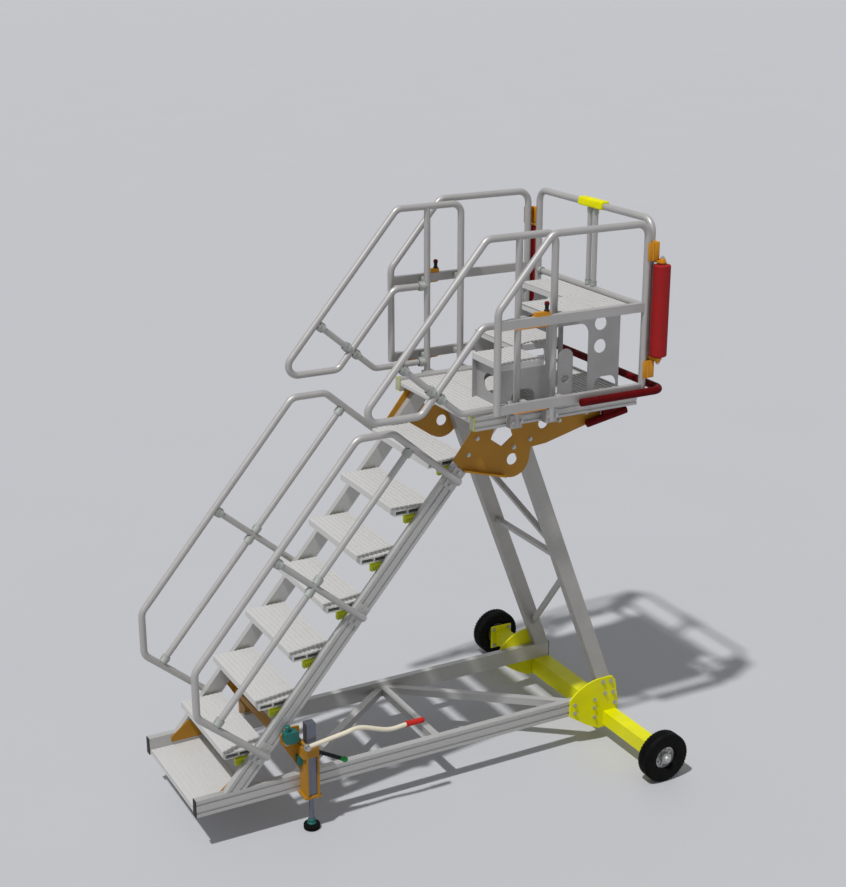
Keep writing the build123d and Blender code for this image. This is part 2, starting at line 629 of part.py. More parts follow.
# Clamps on the corner posts with arms and pins for the rollers, and the rollers
PIN_CAP_R, PIN_CAP = 17.0, 12.0
with BuildPart() as roller_brackets:
    for side, sign in SIDES:
        corner = Vector(CORNER_X, sign * GUARD_Y)
        front = Vector(FRONT_X, sign * FRONT_Y)
        pin = Vector(ROLLER_X, sign * ROLLER_Y)
        for end_z, way in ((ROLLER_Z0, -1), (ROLLER_Z1, 1)):
            with BuildSketch(Plane.XY.offset(end_z + way * ARM_GAP)):
                SlotCenterPoint((corner + front) * 0.5, front, CLAMP_WIDTH)
            extrude(amount=way * CLAMP_HEIGHT)
            with BuildSketch(Plane.XY.offset(end_z + way * ARM_GAP)):
                SlotCenterPoint((corner + pin) * 0.5, pin, ARM_WIDTH)
            extrude(amount=way * ARM)
            with BuildSketch(Plane.XY.offset(end_z + way * ARM_GAP)):
                with Locations(corner, front):
                    Circle(TUBE_R)
            extrude(amount=way * CLAMP_HEIGHT, mode=Mode.SUBTRACT)
            with BuildSketch(Plane.XY.offset(end_z + way * (ARM_GAP + ARM))):
                with Locations(pin):
                    Circle(PIN_CAP_R)
            extrude(amount=way * PIN_CAP)
        with BuildSketch(Plane.XY.offset(ROLLER_Z0 - ARM_GAP - ARM)):
            with Locations(pin):
                Circle(ROLLER_PIN_R)
        extrude(amount=ROLLER_Z1 - ROLLER_Z0 + 2 * (ARM_GAP + ARM))
keep(roller_brackets, "roller_brackets")
for side, sign in SIDES:
    with BuildPart() as roller:
        with BuildSketch(Plane.XY.offset(ROLLER_Z0)):
            with Locations((ROLLER_X, sign * ROLLER_Y)):
                Circle(ROLLER_R)
                Circle(ROLLER_PIN_R + RUNNING, mode=Mode.SUBTRACT)
        extrude(amount=ROLLER_Z1 - ROLLER_Z0)
        fillet(roller.edges().filter_by(GeomType.CIRCLE).sort_by(SortBy.RADIUS)[-2:], 10)
    keep(roller, f"roller_{side}")

# Bumper tube round the front of the deck, on blocks against the guard bars
BUMPER_Y = GUARD_Y + TUBE_R + BUMPER_R + 2
BUMPER_X0, BUMPER_X1 = FRONT_X - 485.0, FRONT_X + 57.0
with BuildPart() as deck_bumper:
    with BuildLine(Plane.XY.offset(BUMPER_Z)) as bumper_path:
        FilletPolyline(
            (BUMPER_X0, -BUMPER_Y),
            (BUMPER_X1, -BUMPER_Y),
            (BUMPER_X1, BUMPER_Y),
            (BUMPER_X0, BUMPER_Y),
            radius=LOOP_BEND,
        )
    with BuildSketch(bumper_path.line ^ 0):
        Circle(BUMPER_R)
    sweep(path=bumper_path.line)
    for side, sign in SIDES:
        for block_x in (BUMPER_X0 + 60, CORNER_X - 80):
            with Locations((block_x, sign * (GUARD_Y + BAR_WIDTH / 2 + BUMPER_R / 2), BUMPER_Z)):
                Box(40, BUMPER_R, 18)
keep(deck_bumper, "deck_bumper")

# Lower bumpers under the ends of the deck rails
LOW_BUMPER_Y, LOW_BUMPER_Z = 436.0, DECK_TOP - 111.0
with BuildPart() as lower_bumpers:
    for side, sign in SIDES:
        with BuildLine(side_plane(sign * LOW_BUMPER_Y)) as low_path:
            Line((FOOT_X + 2400, LOW_BUMPER_Z - 28), (FOOT_X + 2660, LOW_BUMPER_Z + 18))
        with BuildSketch(low_path.line ^ 0):
            Circle(BUMPER_R)
        sweep(path=low_path.line)
        with Locations((FOOT_X + 2560, sign * LOW_BUMPER_Y, (LOW_BUMPER_Z + DECK_RAIL_BOTTOM) / 2)):
            Box(120, 24, DECK_RAIL_BOTTOM - LOW_BUMPER_Z)
keep(lower_bumpers, "lower_bumpers")

# Step unit: sheet cheeks with arches and holes, a riser, and ribbed planks
LOW_UNDER, HIGH_UNDER = LOW_STEP_Z - PLANK_THICK, HIGH_STEP_Z - PLANK_THICK
PORTAL_X, PORTAL, PORTAL_HEIGHT, PORTAL_R = FOOT_X + 2302.0, 255.0, 429.0, 60.0
ARCH, ARCH_HEIGHT, ARCH_R = 150.0, 106.0, 50.0
WEB_X, WEB, WEB_HEIGHT = FOOT_X + 2280.0, 96.0, 250.0
ROUND_X, ROUND_R = FOOT_X + 2508.0, 40.0
ROUND_Z = (DECK_TOP + 286.0, DECK_TOP + 418.0)
RISER_X = LOW_X + 30.0
CHEEKS = (                  # middle of the sheet, X where its low part and its tall part start, last X
    (-CHEEK_Y + CHEEK / 2, LOW_X, MIDDLE_X, CHEEK_END_X),
    (-INNER_Y - CHEEK / 2, LOW_X, MIDDLE_X, HIGH_X),
    (CHEEK_Y - CHEEK / 2, FAR_X, HIGH_X, CHEEK_END_X),
)
standing = (Align.MIN, Align.MIN)
with BuildPart() as step_cheeks:
    for y, start, tall_x, end in CHEEKS:
        with BuildSketch(side_plane(y)):
            with Locations((start, DECK_TOP)):
                Rectangle(tall_x - start, LOW_UNDER - DECK_TOP, align=standing)
            with Locations((tall_x, DECK_TOP)):
                Rectangle(end - tall_x, HIGH_UNDER - DECK_TOP, align=standing)
            with Locations(((start + tall_x) / 2, DECK_TOP)):
                RectangleRounded(ARCH, 2 * ARCH_HEIGHT, ARCH_R, mode=Mode.SUBTRACT)
            if tall_x == MIDDLE_X:
                with Locations((PORTAL_X, DECK_TOP)):
                    RectangleRounded(PORTAL, 2 * PORTAL_HEIGHT, PORTAL_R, mode=Mode.SUBTRACT)
            if end == CHEEK_END_X:
                for round_z in ROUND_Z:
                    with Locations((ROUND_X, round_z)):
                        Circle(ROUND_R, mode=Mode.SUBTRACT)
                with Locations(((HIGH_X + CHEEK_END_X) / 2, DECK_TOP)):
                    RectangleRounded(ARCH, 2 * ARCH_HEIGHT, ARCH_R, mode=Mode.SUBTRACT)
        extrude(amount=CHEEK / 2, both=True)
    with BuildSketch(side_plane(-CHEEK_Y + CHEEK / 2)):
        with Locations((WEB_X, DECK_TOP + WEB_HEIGHT / 2)):
            Rectangle(WEB, WEB_HEIGHT)
        with Locations((WEB_X, DECK_TOP + WEB_HEIGHT)):
            Circle(WEB / 2)
        with Locations((WEB_X, DECK_TOP + WEB_HEIGHT / 2)):
            Circle(WEB / 4, mode=Mode.SUBTRACT)
    extrude(amount=CHEEK / 2, both=True)
    with BuildSketch(Plane.YZ.offset(RISER_X)):
        with Locations((-(CHEEK_Y + INNER_Y) / 2, DECK_TOP + (LOW_UNDER - DECK_TOP) / 2)):
            Rectangle(CHEEK_Y - INNER_Y - 2 * CHEEK, LOW_UNDER - DECK_TOP)
            RectangleRounded(ARCH, ARCH_HEIGHT, ARCH_R, mode=Mode.SUBTRACT)
    extrude(amount=CHEEK)
keep(step_cheeks, "step_cheeks")
GAP = 4.0                   # between planks
LOW_PLANKS = (              # first and last X, first and last Y
    (LOW_X, FAR_X - GAP, -CHEEK_Y, -INNER_Y),
    (FAR_X, HIGH_X - GAP, -INNER_Y, CHEEK_Y),
)
HIGH_PLANKS = (
    (MIDDLE_X + 20, HIGH_X - GAP, -CHEEK_Y, -INNER_Y),
    (HIGH_X, STEP_END_X, -CHEEK_Y, CHEEK_Y),
)
for name, top, planks in (
    ("step_planks_low", LOW_STEP_Z, LOW_PLANKS),
    ("step_planks_high", HIGH_STEP_Z, HIGH_PLANKS),
):
    with BuildPart() as step_planks:
        for x0, x1, y0, y1 in planks:
            middle = ((x0 + x1) / 2, (y0 + y1) / 2)
            with Locations((*middle, top - PLANK_THICK / 2)):
                Box(x1 - x0, y1 - y0, PLANK_THICK)
            with Locations((*middle, top)):
                with GridLocations(28, 0, int((x1 - x0) // 28), 1):
                    Box(7, y1 - y0, 6, mode=Mode.SUBTRACT)
    keep(step_planks, name)

# Jacks on the rails: gusset, open channel, collar and base plate round a column
COLUMN_Z0, COLUMN_Z1 = RAIL_BOTTOM, 655.0
SLEEVE = 11.0
COLLAR_Z0, COLLAR_Z1, COLLAR_SIDE = 455.0, 520.0, 18.0
STEM_TOP = 520.0
LEVER_Y = -(JACK_Y + COLUMN / 2 + SLEEVE + 22)
LEVER_X, LEVER_Z = JACK_X - 42, 540.0
PIN_R = 8.0
HALF = COLUMN / 2 + SLEEVE
JACK_REACH = JACK_Y + HALF - RAIL_OUT
for side, sign in SIDES:
    y = sign * JACK_Y
    reach_y = sign * (RAIL_OUT + JACK_REACH / 2)
    with BuildPart() as jack_body:
        with BuildSketch(side_plane(sign * (RAIL_OUT + GUSSET / 2))):
            with BuildLine():
                Polyline(
                    (JACK_X - HALF, RAIL_BOTTOM),
                    (JACK_X + HALF, RAIL_BOTTOM),
                    (JACK_X + HALF, COLLAR_Z1),
                    (JACK_X - HALF, COLLAR_Z1),
                    (JACK_X - HALF, COLLAR_Z1 + 98),
                    (JACK_X - 104, COLLAR_Z1 + 102),
                    (JACK_X - 150, COLLAR_Z1 + 62),
                    (JACK_X - 146, COLLAR_Z1 + 15),
                    (JACK_X - HALF, COLLAR_Z0 - 105),
                    close=True,
                )
            make_face()
        extrude(amount=GUSSET / 2, both=True)
        for edge in (-1, 1):
            flange_x = JACK_X + edge * (COLUMN + SLEEVE) / 2
            with Locations((flange_x, reach_y, (RAIL_BOTTOM + COLLAR_Z0) / 2)):
                Box(SLEEVE, JACK_REACH, COLLAR_Z0 - RAIL_BOTTOM)
        with Locations((JACK_X - COLLAR_SIDE / 2, reach_y, (COLLAR_Z0 + COLLAR_Z1) / 2)):
            Box(2 * HALF + COLLAR_SIDE, JACK_REACH, COLLAR_Z1 - COLLAR_Z0)
        with Locations((JACK_X, reach_y, RAIL_BOTTOM - BASE_PLATE / 2)):
            Box(2 * (HALF + SLEEVE), JACK_REACH, BASE_PLATE)
        with Locations((JACK_X, y, (COLUMN_Z0 + COLUMN_Z1) / 2)):
            Box(COLUMN, COLUMN, COLUMN_Z1 - COLUMN_Z0, mode=Mode.SUBTRACT)
        with BuildSketch(Plane.XY.offset(RAIL_BOTTOM - BASE_PLATE)):
            with Locations((JACK_X, y)):
                Circle(STEM_R + 2)
        extrude(amount=BASE_PLATE, mode=Mode.SUBTRACT)
        if side == "near":
            with BuildSketch(side_plane(-RAIL_OUT - GUSSET / 2)):
                with Locations((LEVER_X, LEVER_Z)):
                    Circle(PIN_R)
            extrude(amount=-LEVER_Y + 2 * PIN_R - RAIL_OUT - GUSSET / 2)
    keep(jack_body, f"jack_body_{side}")
    with BuildPart() as jack_stem:
        with BuildSketch(Plane.XY.offset(PAD_THICK)):
            with Locations((JACK_X, y)):
                Circle(STEM_R)
        extrude(amount=STEM_TOP - PAD_THICK)
    keep(jack_stem, f"jack_stem_{side}")
    with BuildPart() as jack_pad:
        with BuildSketch(Plane.XY):
            with Locations((JACK_X, y)):
                Circle(PAD_R)
        extrude(amount=PAD_THICK)
        fillet(jack_pad.edges().filter_by(GeomType.CIRCLE), 6)
    keep(jack_pad, f"jack_pad_{side}")

# Square columns of the jacks, bored for the stems
with BuildPart() as jack_columns:
    for side, sign in SIDES:
        with Locations((JACK_X, sign * JACK_Y, (COLUMN_Z0 + COLUMN_Z1) / 2)):
            Box(COLUMN, COLUMN, COLUMN_Z1 - COLUMN_Z0)
        with BuildSketch(Plane.XY.offset(COLUMN_Z0)):
            with Locations((JACK_X, sign * JACK_Y)):
                Circle(STEM_R + RUNNING)
        extrude(amount=COLUMN_Z1 - COLUMN_Z0 - 10, mode=Mode.SUBTRACT)
keep(jack_columns, "jack_columns")

# Castings on the gussets: head and guide of each jack
with BuildPart() as jack_castings:
    for side, sign in SIDES:
        for x0, x1, z0, z1, depth in (
            (JACK_X - 140, JACK_X - 62, COLLAR_Z1 + 28, COLLAR_Z1 + 94, 52),
            (JACK_X - 64, JACK_X - HALF, COLLAR_Z0 - 60, COLLAR_Z0, 40),
        ):
            casting_y = sign * (RAIL_OUT + GUSSET + depth / 2)
            with Locations(((x0 + x1) / 2, casting_y, (z0 + z1) / 2)):
                Box(x1 - x0, depth, z1 - z0)
    fillet(jack_castings.edges().filter_by(Axis.Y), 10)
keep(jack_castings, "jack_castings")

# Cross beam between the jacks
with BuildPart() as jack_beam:
    with Locations((JACK_X - 80, 0, 480)):
        Box(36, 2 * RAIL_OUT, 36)
keep(jack_beam, "jack_beam")

# Pump lever with its grip on the pin of the near jack
lever_route = (
    (LEVER_X + 12, LEVER_Z + 2),
    (LEVER_X + 216, LEVER_Z + 28),
    (LEVER_X + 320, LEVER_Z + 38),
    (LEVER_X + 486, LEVER_Z - 17),
    (LEVER_X + 600, LEVER_Z - 15),
)
with BuildPart() as jack_lever:
    with BuildLine(side_plane(LEVER_Y)) as lever_path:
        FilletPolyline(*lever_route, radius=LOOP_BEND)
    with BuildSketch(lever_path.line ^ 0):
        Circle(9)
    sweep(path=lever_path.line)
    with BuildSketch(side_plane(LEVER_Y)):
        with Locations((LEVER_X, LEVER_Z)):
            Circle(22)
    extrude(amount=11, both=True)
    with BuildSketch(side_plane(LEVER_Y)):
        with Locations((LEVER_X, LEVER_Z)):
            Circle(PIN_R + RUNNING)
    extrude(amount=30, both=True, mode=Mode.SUBTRACT)
keep(jack_lever, "jack_lever")
with BuildPart() as lever_grip:
    with BuildLine(side_plane(LEVER_Y)) as grip_path:
        Line((LEVER_X + 600, LEVER_Z - 15), (LEVER_X + 714, LEVER_Z - 13))
    with BuildSketch(grip_path.line ^ 0):
        Circle(14)
    sweep(path=grip_path.line)
keep(lever_grip, "lever_grip")

# Release handle of the near jack
HANDLE_Y = -(JACK_Y + 20)
handle_start = (JACK_X + HALF, COLLAR_Z0 + 15)
with BuildPart() as release_handle:
    with BuildLine(side_plane(HANDLE_Y)) as handle_path:
        Line((handle_start[0] + 8, handle_start[1]), (JACK_X + 209, COLLAR_Z0 - 78))
    with BuildSketch(handle_path.line ^ 0):
        Circle(8)
    sweep(path=handle_path.line)
    with Locations((JACK_X + HALF + 5, HANDLE_Y, COLLAR_Z0 + 15)):
        Box(10, 26, 26)
keep(release_handle, "release_handle")
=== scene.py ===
"""Finishes, small fittings and studio of a mobile maintenance access platform.

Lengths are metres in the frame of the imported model: X runs from the stair foot to the
wheels, Y across, Z up, and the floor is at Z = 0.
"""

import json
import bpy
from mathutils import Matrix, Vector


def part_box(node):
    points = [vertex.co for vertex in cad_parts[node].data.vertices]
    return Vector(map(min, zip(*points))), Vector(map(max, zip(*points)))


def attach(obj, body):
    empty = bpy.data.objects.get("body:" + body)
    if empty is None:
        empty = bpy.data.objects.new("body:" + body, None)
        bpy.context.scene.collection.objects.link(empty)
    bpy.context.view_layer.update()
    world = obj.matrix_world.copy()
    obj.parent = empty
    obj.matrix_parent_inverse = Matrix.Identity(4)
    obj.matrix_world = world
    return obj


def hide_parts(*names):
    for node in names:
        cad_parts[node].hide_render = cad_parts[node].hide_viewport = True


bl_info = {
    "name": "Access Platform Dressing",
    "version": (1, 0, 0),
    "blender": (4, 5, 0),
    "location": "View3D > Sidebar > Platform",
    "description": "Adds finishes, small fittings and a studio to the packed access platform",
    "category": "Object",
}

from math import cos, pi, radians, sin
from typing import NamedTuple

import bmesh
import bpy
from bpy.props import FloatProperty, FloatVectorProperty, IntProperty, PointerProperty
from mathutils import Vector

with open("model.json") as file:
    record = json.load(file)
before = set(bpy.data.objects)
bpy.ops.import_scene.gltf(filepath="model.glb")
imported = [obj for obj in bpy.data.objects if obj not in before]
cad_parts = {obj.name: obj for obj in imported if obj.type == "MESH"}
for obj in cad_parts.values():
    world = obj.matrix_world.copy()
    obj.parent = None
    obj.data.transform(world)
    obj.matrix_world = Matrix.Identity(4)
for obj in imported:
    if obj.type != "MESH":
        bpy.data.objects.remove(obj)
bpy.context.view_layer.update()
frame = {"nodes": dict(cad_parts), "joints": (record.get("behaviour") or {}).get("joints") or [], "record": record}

SIDES = {"near": -1, "far": 1}          # name of a side, sign of its Y
X_WAY, Y_WAY, Z_WAY = Vector((1, 0, 0)), Vector((0, 1, 0)), Vector((0, 0, 1))
JOINT_PLACE = {
    joint["name"]: Vector(joint["pos_m"])
    for joint in frame["joints"]
    if joint.get("pos_m")
}
SLOT_OF = {part["node"]: part["material_slot"] for part in frame["record"]["subparts"]}

# Driving places of the frame
FOOT_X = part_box("base_rail_near")[0].x
DECK_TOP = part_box("deck_planks")[1].z

# Stair directions from a point of its pitch line
PITCH = radians(49.5)
STAIR = Vector((FOOT_X + 0.202, 0, 0.403))
CLIMB = Vector((cos(PITCH), 0, sin(PITCH)))
OUTWARD = Vector((-sin(PITCH), 0, cos(PITCH)))

# Tubes that several fittings share
TUBE = 0.020
HAND_BARS = (0.195, 1.100, 2.000)       # way up the stair of each bar of a lower handrail
UPPER_Y = 0.507                         # upper handrails
POST_X = (1.885, 2.110)                 # their posts, from the stair foot


def middle(node):
    """Middle of a node's box."""
    low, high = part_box(node)
    return (low + high) / 2


def from_foot(places):
    """X places given from the stair foot."""
    return tuple(FOOT_X + x for x in places)


def stair_point(along, out, y):
    """Point given by its way up the stair, its way out from the pitch line and Y."""
    return STAIR + along * CLIMB + out * OUTWARD + y * Y_WAY


def srgb(red, green, blue):
    """Linear colour of a swatch given as 0 to 255."""
    shares = (value / 255 for value in (red, green, blue))
    return tuple(((v + 0.055) / 1.055) ** 2.4 if v > 0.04045 else v / 12.92 for v in shares)


def colour(label, about, swatch):
    """A colour that a user may change."""
    return FloatVectorProperty(
        name=label, description=about, subtype="COLOR", min=0, max=1, default=srgb(*swatch)
    )


def length(label, about, default):
    """A length that a user may change."""
    return FloatProperty(
        name=label, description=about, unit="LENGTH", subtype="DISTANCE", precision=4, default=default
    )


def count(label, about, default):
    """A number of repeats that a user may change."""
    return IntProperty(name=label, description=about, min=1, default=default)


class PlatformColours(bpy.types.PropertyGroup):
    """Paint and material colours of the platform."""

    tube: colour("Tube", "Satin tube of the rails", (178, 176, 174))
    rail: colour("Rail", "Extruded rails and stringers", (186, 185, 183))
    plank: colour("Plank", "Ribbed treads and planks", (203, 202, 200))
    sheet: colour("Sheet", "Grey step cheeks", (166, 165, 165))
    leg: colour("Leg", "Grey legs", (170, 168, 164))
    mustard: colour("Mustard", "Brackets and jacks", (172, 122, 28))
    yellow: colour("Yellow", "Axle and its plates", (224, 222, 0))
    clip: colour("Clip", "Tread clips", (178, 188, 2))
    orange: colour("Orange", "Locks and roller brackets", (210, 142, 24))
    roller: colour("Roller", "Corner rollers", (154, 22, 24))
    bumper: colour("Bumper", "Bumper tubes", (92, 0, 3))
    pad: colour("Pad", "Pad on the front bar", (228, 224, 2))
    black: colour("Black", "Caps and handle", (14, 14, 15))
    tyre: colour("Tyre", "Tyres and feet", (7, 7, 7))
    rim: colour("Rim", "Wheel centres", (186, 186, 185))
    column: colour("Column", "Jack columns", (112, 116, 128))
    cream: colour("Cream", "Pump lever", (226, 218, 196))
    grip: colour("Grip", "Grip of the pump lever", (192, 44, 38))
    casting: colour("Casting", "Green castings of the jacks", (20, 100, 94))
    tip: colour("Tip", "Green tip of the release handle", (20, 140, 60))
    clamp: colour("Clamp", "Tube clamps", (170, 175, 170))
    bolt: colour("Bolt", "Bolts and nuts", (188, 188, 186))
    floor: colour("Floor", "Studio floor", (190, 191, 195))


class PlatformSizes(bpy.types.PropertyGroup):
    """Sizes of the small fittings."""

    bolt_head: length("Bolt head", "Width of a bolt head", 0.018)
    bolt_rise: length("Bolt rise", "Height of a bolt head", 0.008)
    washer: length("Washer", "Width of a washer", 0.026)
    washer_rise: length("Washer rise", "Thickness of a washer", 0.003)
    rib_width: length("Rib width", "Width of a grip rib on a plank", 0.015)
    rib_rise: length("Rib rise", "Height of a grip rib on a plank", 0.0016)
    collar_bore: length("Collar bore", "Radius of the tube in a clamp", 0.019)
    collar_wall: length("Collar wall", "Thickness of a tube clamp", 0.005)
    collar_length: length("Collar length", "Length of a tube clamp", 0.038)
    pad_half_width: length("Pad half width", "Half width of the pad on the front bar", 0.030)
    pad_half_height: length("Pad half height", "Half height of the pad on the front bar", 0.0245)
    pad_lift: length("Pad lift", "Height of the pad's middle over the bar's middle", 0.0055)
    lever_radius: length("Lever radius", "Radius of the pump lever", 0.0125)
    tread_blocks: count("Tread blocks", "Shoulder blocks round one side of a tyre", 44)
    grip_rings: count("Grip rings", "Rings on the grip of the pump lever", 8)


def feed(tree, socket, value):
    """Links an output to a socket, or sets the socket to a value."""
    if isinstance(value, bpy.types.NodeSocket):
        tree.links.new(value, socket)
    else:
        socket.default_value = value


def add_node(tree, kind, **inputs):
    """A new node whose inputs are values or the outputs of other nodes."""
    node = tree.nodes.new(kind)
    for label, value in inputs.items():
        feed(tree, node.inputs[label.replace("_", " ")], value)
    return node


def reckon(tree, operation, first, second):
    """The output of a math node on two values or outputs."""
    node = tree.nodes.new("ShaderNodeMath")
    node.operation = operation
    for socket, value in zip(node.inputs, (first, second)):
        feed(tree, socket, value)
    return node.outputs[0]


NOISE_LOW, NOISE_HIGH = 0.3, 0.7        # span in which most of the noise lies
DRAWN_ALONG_X, DRAWN_ALONG_Y = (0.4, 26, 26), (26, 0.4, 26)


class Finish:
    """A principled material with the texture nodes that feed it."""

    def __init__(self, name, metallic, roughness, gloss=0.5):
        self.material = bpy.data.materials.new(name)
        self.material.use_nodes = True
        self.tree = self.material.node_tree
        self.shader = self.tree.nodes["Principled BSDF"]
        self.set("Metallic", metallic)
        self.set("Roughness", roughness)
        self.set("Specular IOR Level", gloss)

    def set(self, label, value):
        """Feeds an input of the shader."""
        feed(self.tree, self.shader.inputs[label], value)

    def grain(self, scale, stretch=(1, 1, 1), turn=0.0, detail=3.0):
        """Noise on the object's own coordinates, stretched along one way."""
        place = add_node(self.tree, "ShaderNodeTexCoord").outputs["Object"]
        mapping = add_node(
            self.tree, "ShaderNodeMapping", Vector=place, Rotation=(0, turn, 0), Scale=stretch
        )
        drawn = mapping.outputs["Vector"]
        noise = add_node(self.tree, "ShaderNodeTexNoise", Vector=drawn, Scale=scale, Detail=detail)
        return noise.outputs["Fac"]

    def shade(self, factor, base, spread):
        """Lets the colour drift by a share of itself with the factor."""
        ramp = add_node(self.tree, "ShaderNodeValToRGB", Fac=factor)
        stops = ramp.color_ramp.elements
        for stop, place, gain in zip(stops, (NOISE_LOW, NOISE_HIGH), (1 - spread, 1 + spread)):
            stop.position = place
            stop.color = (*[min(1.0, value * gain) for value in base], 1)
        self.set("Base Color", ramp.outputs["Color"])

    def polish(self, factor, low, high):
        """Lets the roughness drift between two values."""
        span = {"From_Min": NOISE_LOW, "From_Max": NOISE_HIGH, "To_Min": low, "To_Max": high}
        mapped = add_node(self.tree, "ShaderNodeMapRange", Value=factor, **span)
        self.set("Roughness", mapped.outputs["Result"])

    def emboss(self, height, depth):
        """Raises the surface a little with the height."""
        bump = add_node(self.tree, "ShaderNodeBump", Height=height, Distance=depth)
        self.set("Normal", bump.outputs["Normal"])


def satin_tube(name, base):
    """Anodised tube with a soft haze."""
    finish = Finish(name, metallic=0.35, roughness=0.42)
    finish.shade(finish.grain(5), base, 0.04)
    finish.polish(finish.grain(38, detail=5), 0.36, 0.5)
    finish.emboss(finish.grain(420), 0.0001)
    return finish.material


def extruded_metal(name, base, turn=0.0):
    """Extruded aluminium with fine draw lines along X, or along X turned up."""
    finish = Finish(name, metallic=0.4, roughness=0.42)
    lines = finish.grain(9, DRAWN_ALONG_X, turn, detail=6)
    finish.shade(lines, base, 0.04)
    finish.polish(lines, 0.36, 0.5)
    finish.emboss(lines, 0.0002)
    return finish.material


def blasted_plank(name, base):
    """Pale blasted aluminium with faint draw lines across the platform."""
    finish = Finish(name, metallic=0.1, roughness=0.55)
    finish.shade(finish.grain(9, DRAWN_ALONG_Y, detail=6), base, 0.01)
    finish.polish(finish.grain(40, detail=5), 0.5, 0.6)
    return finish.material


def powder_paint(name, base, roughness=0.42):
    """Powder coat with an orange-peel skin and a slight drift of tone."""
    finish = Finish(name, metallic=0.0, roughness=roughness, gloss=0.3)
    finish.shade(finish.grain(7, detail=5), base, 0.06)
    finish.polish(finish.grain(60, detail=4), roughness - 0.08, roughness + 0.1)
    finish.emboss(finish.grain(520), 0.0002)
    return finish.material


def rolled_sheet(name, base):
    """Matt sheet metal with a cloudy surface."""
    finish = Finish(name, metallic=0.2, roughness=0.5)
    finish.shade(finish.grain(11, detail=6), base, 0.05)
    finish.polish(finish.grain(90, detail=4), 0.42, 0.58)
    finish.emboss(finish.grain(300), 0.0001)
    return finish.material


def moulded_plastic(name, base, roughness=0.45):
    """Moulded plastic with a fine spark-eroded skin."""
    finish = Finish(name, metallic=0.0, roughness=roughness, gloss=0.25)
    finish.shade(finish.grain(16, detail=4), base, 0.05)
    finish.emboss(finish.grain(900), 0.0002)
    return finish.material


def rubber(name, base, roughness=0.7):
    """Rubber with dusty patches."""
    finish = Finish(name, metallic=0.0, roughness=roughness, gloss=0.12)
    finish.shade(finish.grain(14, detail=6), base, 0.12)
    finish.polish(finish.grain(30, detail=5), roughness - 0.12, roughness + 0.12)
    finish.emboss(finish.grain(650), 0.0003)
    return finish.material


def turned_steel(name, base, stretch=(1, 1, 1)):
    """Bright steel with tool marks."""
    finish = Finish(name, metallic=0.75, roughness=0.36)
    marks = finish.grain(30, stretch, detail=5)
    finish.shade(marks, base, 0.08)
    finish.polish(marks, 0.28, 0.46)
    return finish.material


def rough_casting(name, base):
    """Painted casting with a sandy skin."""
    finish = Finish(name, metallic=0.1, roughness=0.5)
    finish.shade(finish.grain(24, detail=5), base, 0.1)
    finish.emboss(finish.grain(260, detail=4), 0.0008)
    return finish.material


# Materials by slot, then those of nodes and pieces that differ from their slot
FINISHES = {}
NODE_FINISH = {
    "base_rail_near": "rail",
    "base_rail_far": "rail",
    "base_braces": "rail",
    "deck_rails": "rail",
    "leg_near": "leg",
    "leg_far": "leg",
    "stringer_near": "stringer",
    "stringer_far": "stringer",
}


def mix_finishes():
    """Makes every material once, from the colours of the panel."""
    c = bpy.context.scene.platform_colours
    FINISHES.update(
        aluminium=satin_tube("satin_tube", c.tube),
        tread_aluminium=blasted_plank("plank_across", c.plank),
        grey_sheet=rolled_sheet("grey_sheet", c.sheet),
        mustard_paint=powder_paint("mustard_paint", c.mustard),
        yellow_paint=powder_paint("yellow_paint", c.yellow),
        orange_paint=powder_paint("orange_paint", c.orange),
        cream_paint=powder_paint("cream_paint", c.cream, 0.38),
        teal_paint=rough_casting("jack_casting", c.casting),
        clip_plastic=moulded_plastic("clip_plastic", c.clip),
        roller_red=moulded_plastic("roller_skin", c.roller, 0.65),
        black_plastic=moulded_plastic("black_plastic", c.black, 0.5),
        bumper_red=rubber("bumper_skin", c.bumper, 0.65),
        pad_yellow=rubber("pad_skin", c.pad, 0.55),
        tyre_rubber=rubber("tyre_rubber", c.tyre),
        grip_red=rubber("grip_rubber", c.grip, 0.55),
        rim_steel=turned_steel("rim_steel", c.rim),
        column_steel=turned_steel("column_steel", c.column, (20, 20, 0.5)),
        rail=extruded_metal("rail_along", c.rail),
        stringer=extruded_metal("rail_climbing", c.rail, PITCH),
        leg=rolled_sheet("leg_sheet", c.leg),
        clamp=rough_casting("clamp_casting", c.clamp),
        bolt=turned_steel("bolt_steel", c.bolt),
        tip=moulded_plastic("green_plastic", c.tip, 0.4),
    )
    FINISHES["pad_rubber"] = FINISHES["tyre_rubber"]


def settle(piece, body, slot, finish):
    """Gives a finished piece its material, chosen by its finish or else by its slot, and its body."""
    material = FINISHES[finish or slot]
    if material.name not in piece.data.materials:
        piece.data.materials.append(material)
    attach(piece, body)
    return piece


def from_bmesh(name, bm, body, slot=None, finish=None, crease=35):
    """Turns a bmesh into a piece, smooth apart from its sharp edges."""
    bmesh.ops.remove_doubles(bm, verts=bm.verts, dist=1e-6)
    bmesh.ops.recalc_face_normals(bm, faces=bm.faces)
    for face in bm.faces:
        face.smooth = True
    for edge in bm.edges:
        edge.smooth = len(edge.link_faces) == 2 and edge.calc_face_angle(pi) < radians(crease)
    mesh = bpy.data.meshes.new(name)
    bm.to_mesh(mesh)
    bm.free()
    piece = bpy.data.objects.new(name, mesh)
    bpy.context.scene.collection.objects.link(piece)
    return settle(piece, body, slot, finish)


def circle(steps):
    """Angles of a full turn."""
    return [2 * pi * step / steps for step in range(steps)]


def loft(bm, rings, closed=True):
    """Joins rings of points, each to the next, and the last to the first where closed."""
    rows = [[bm.verts.new(point) for point in ring] for ring in rings]
    followers = rows[1:] + rows[:1] if closed else rows[1:]
    for row, after in zip(rows, followers):
        for step in range(len(row)):
            side = (step + 1) % len(row)
            bm.faces.new((row[step], row[side], after[side], after[step]))


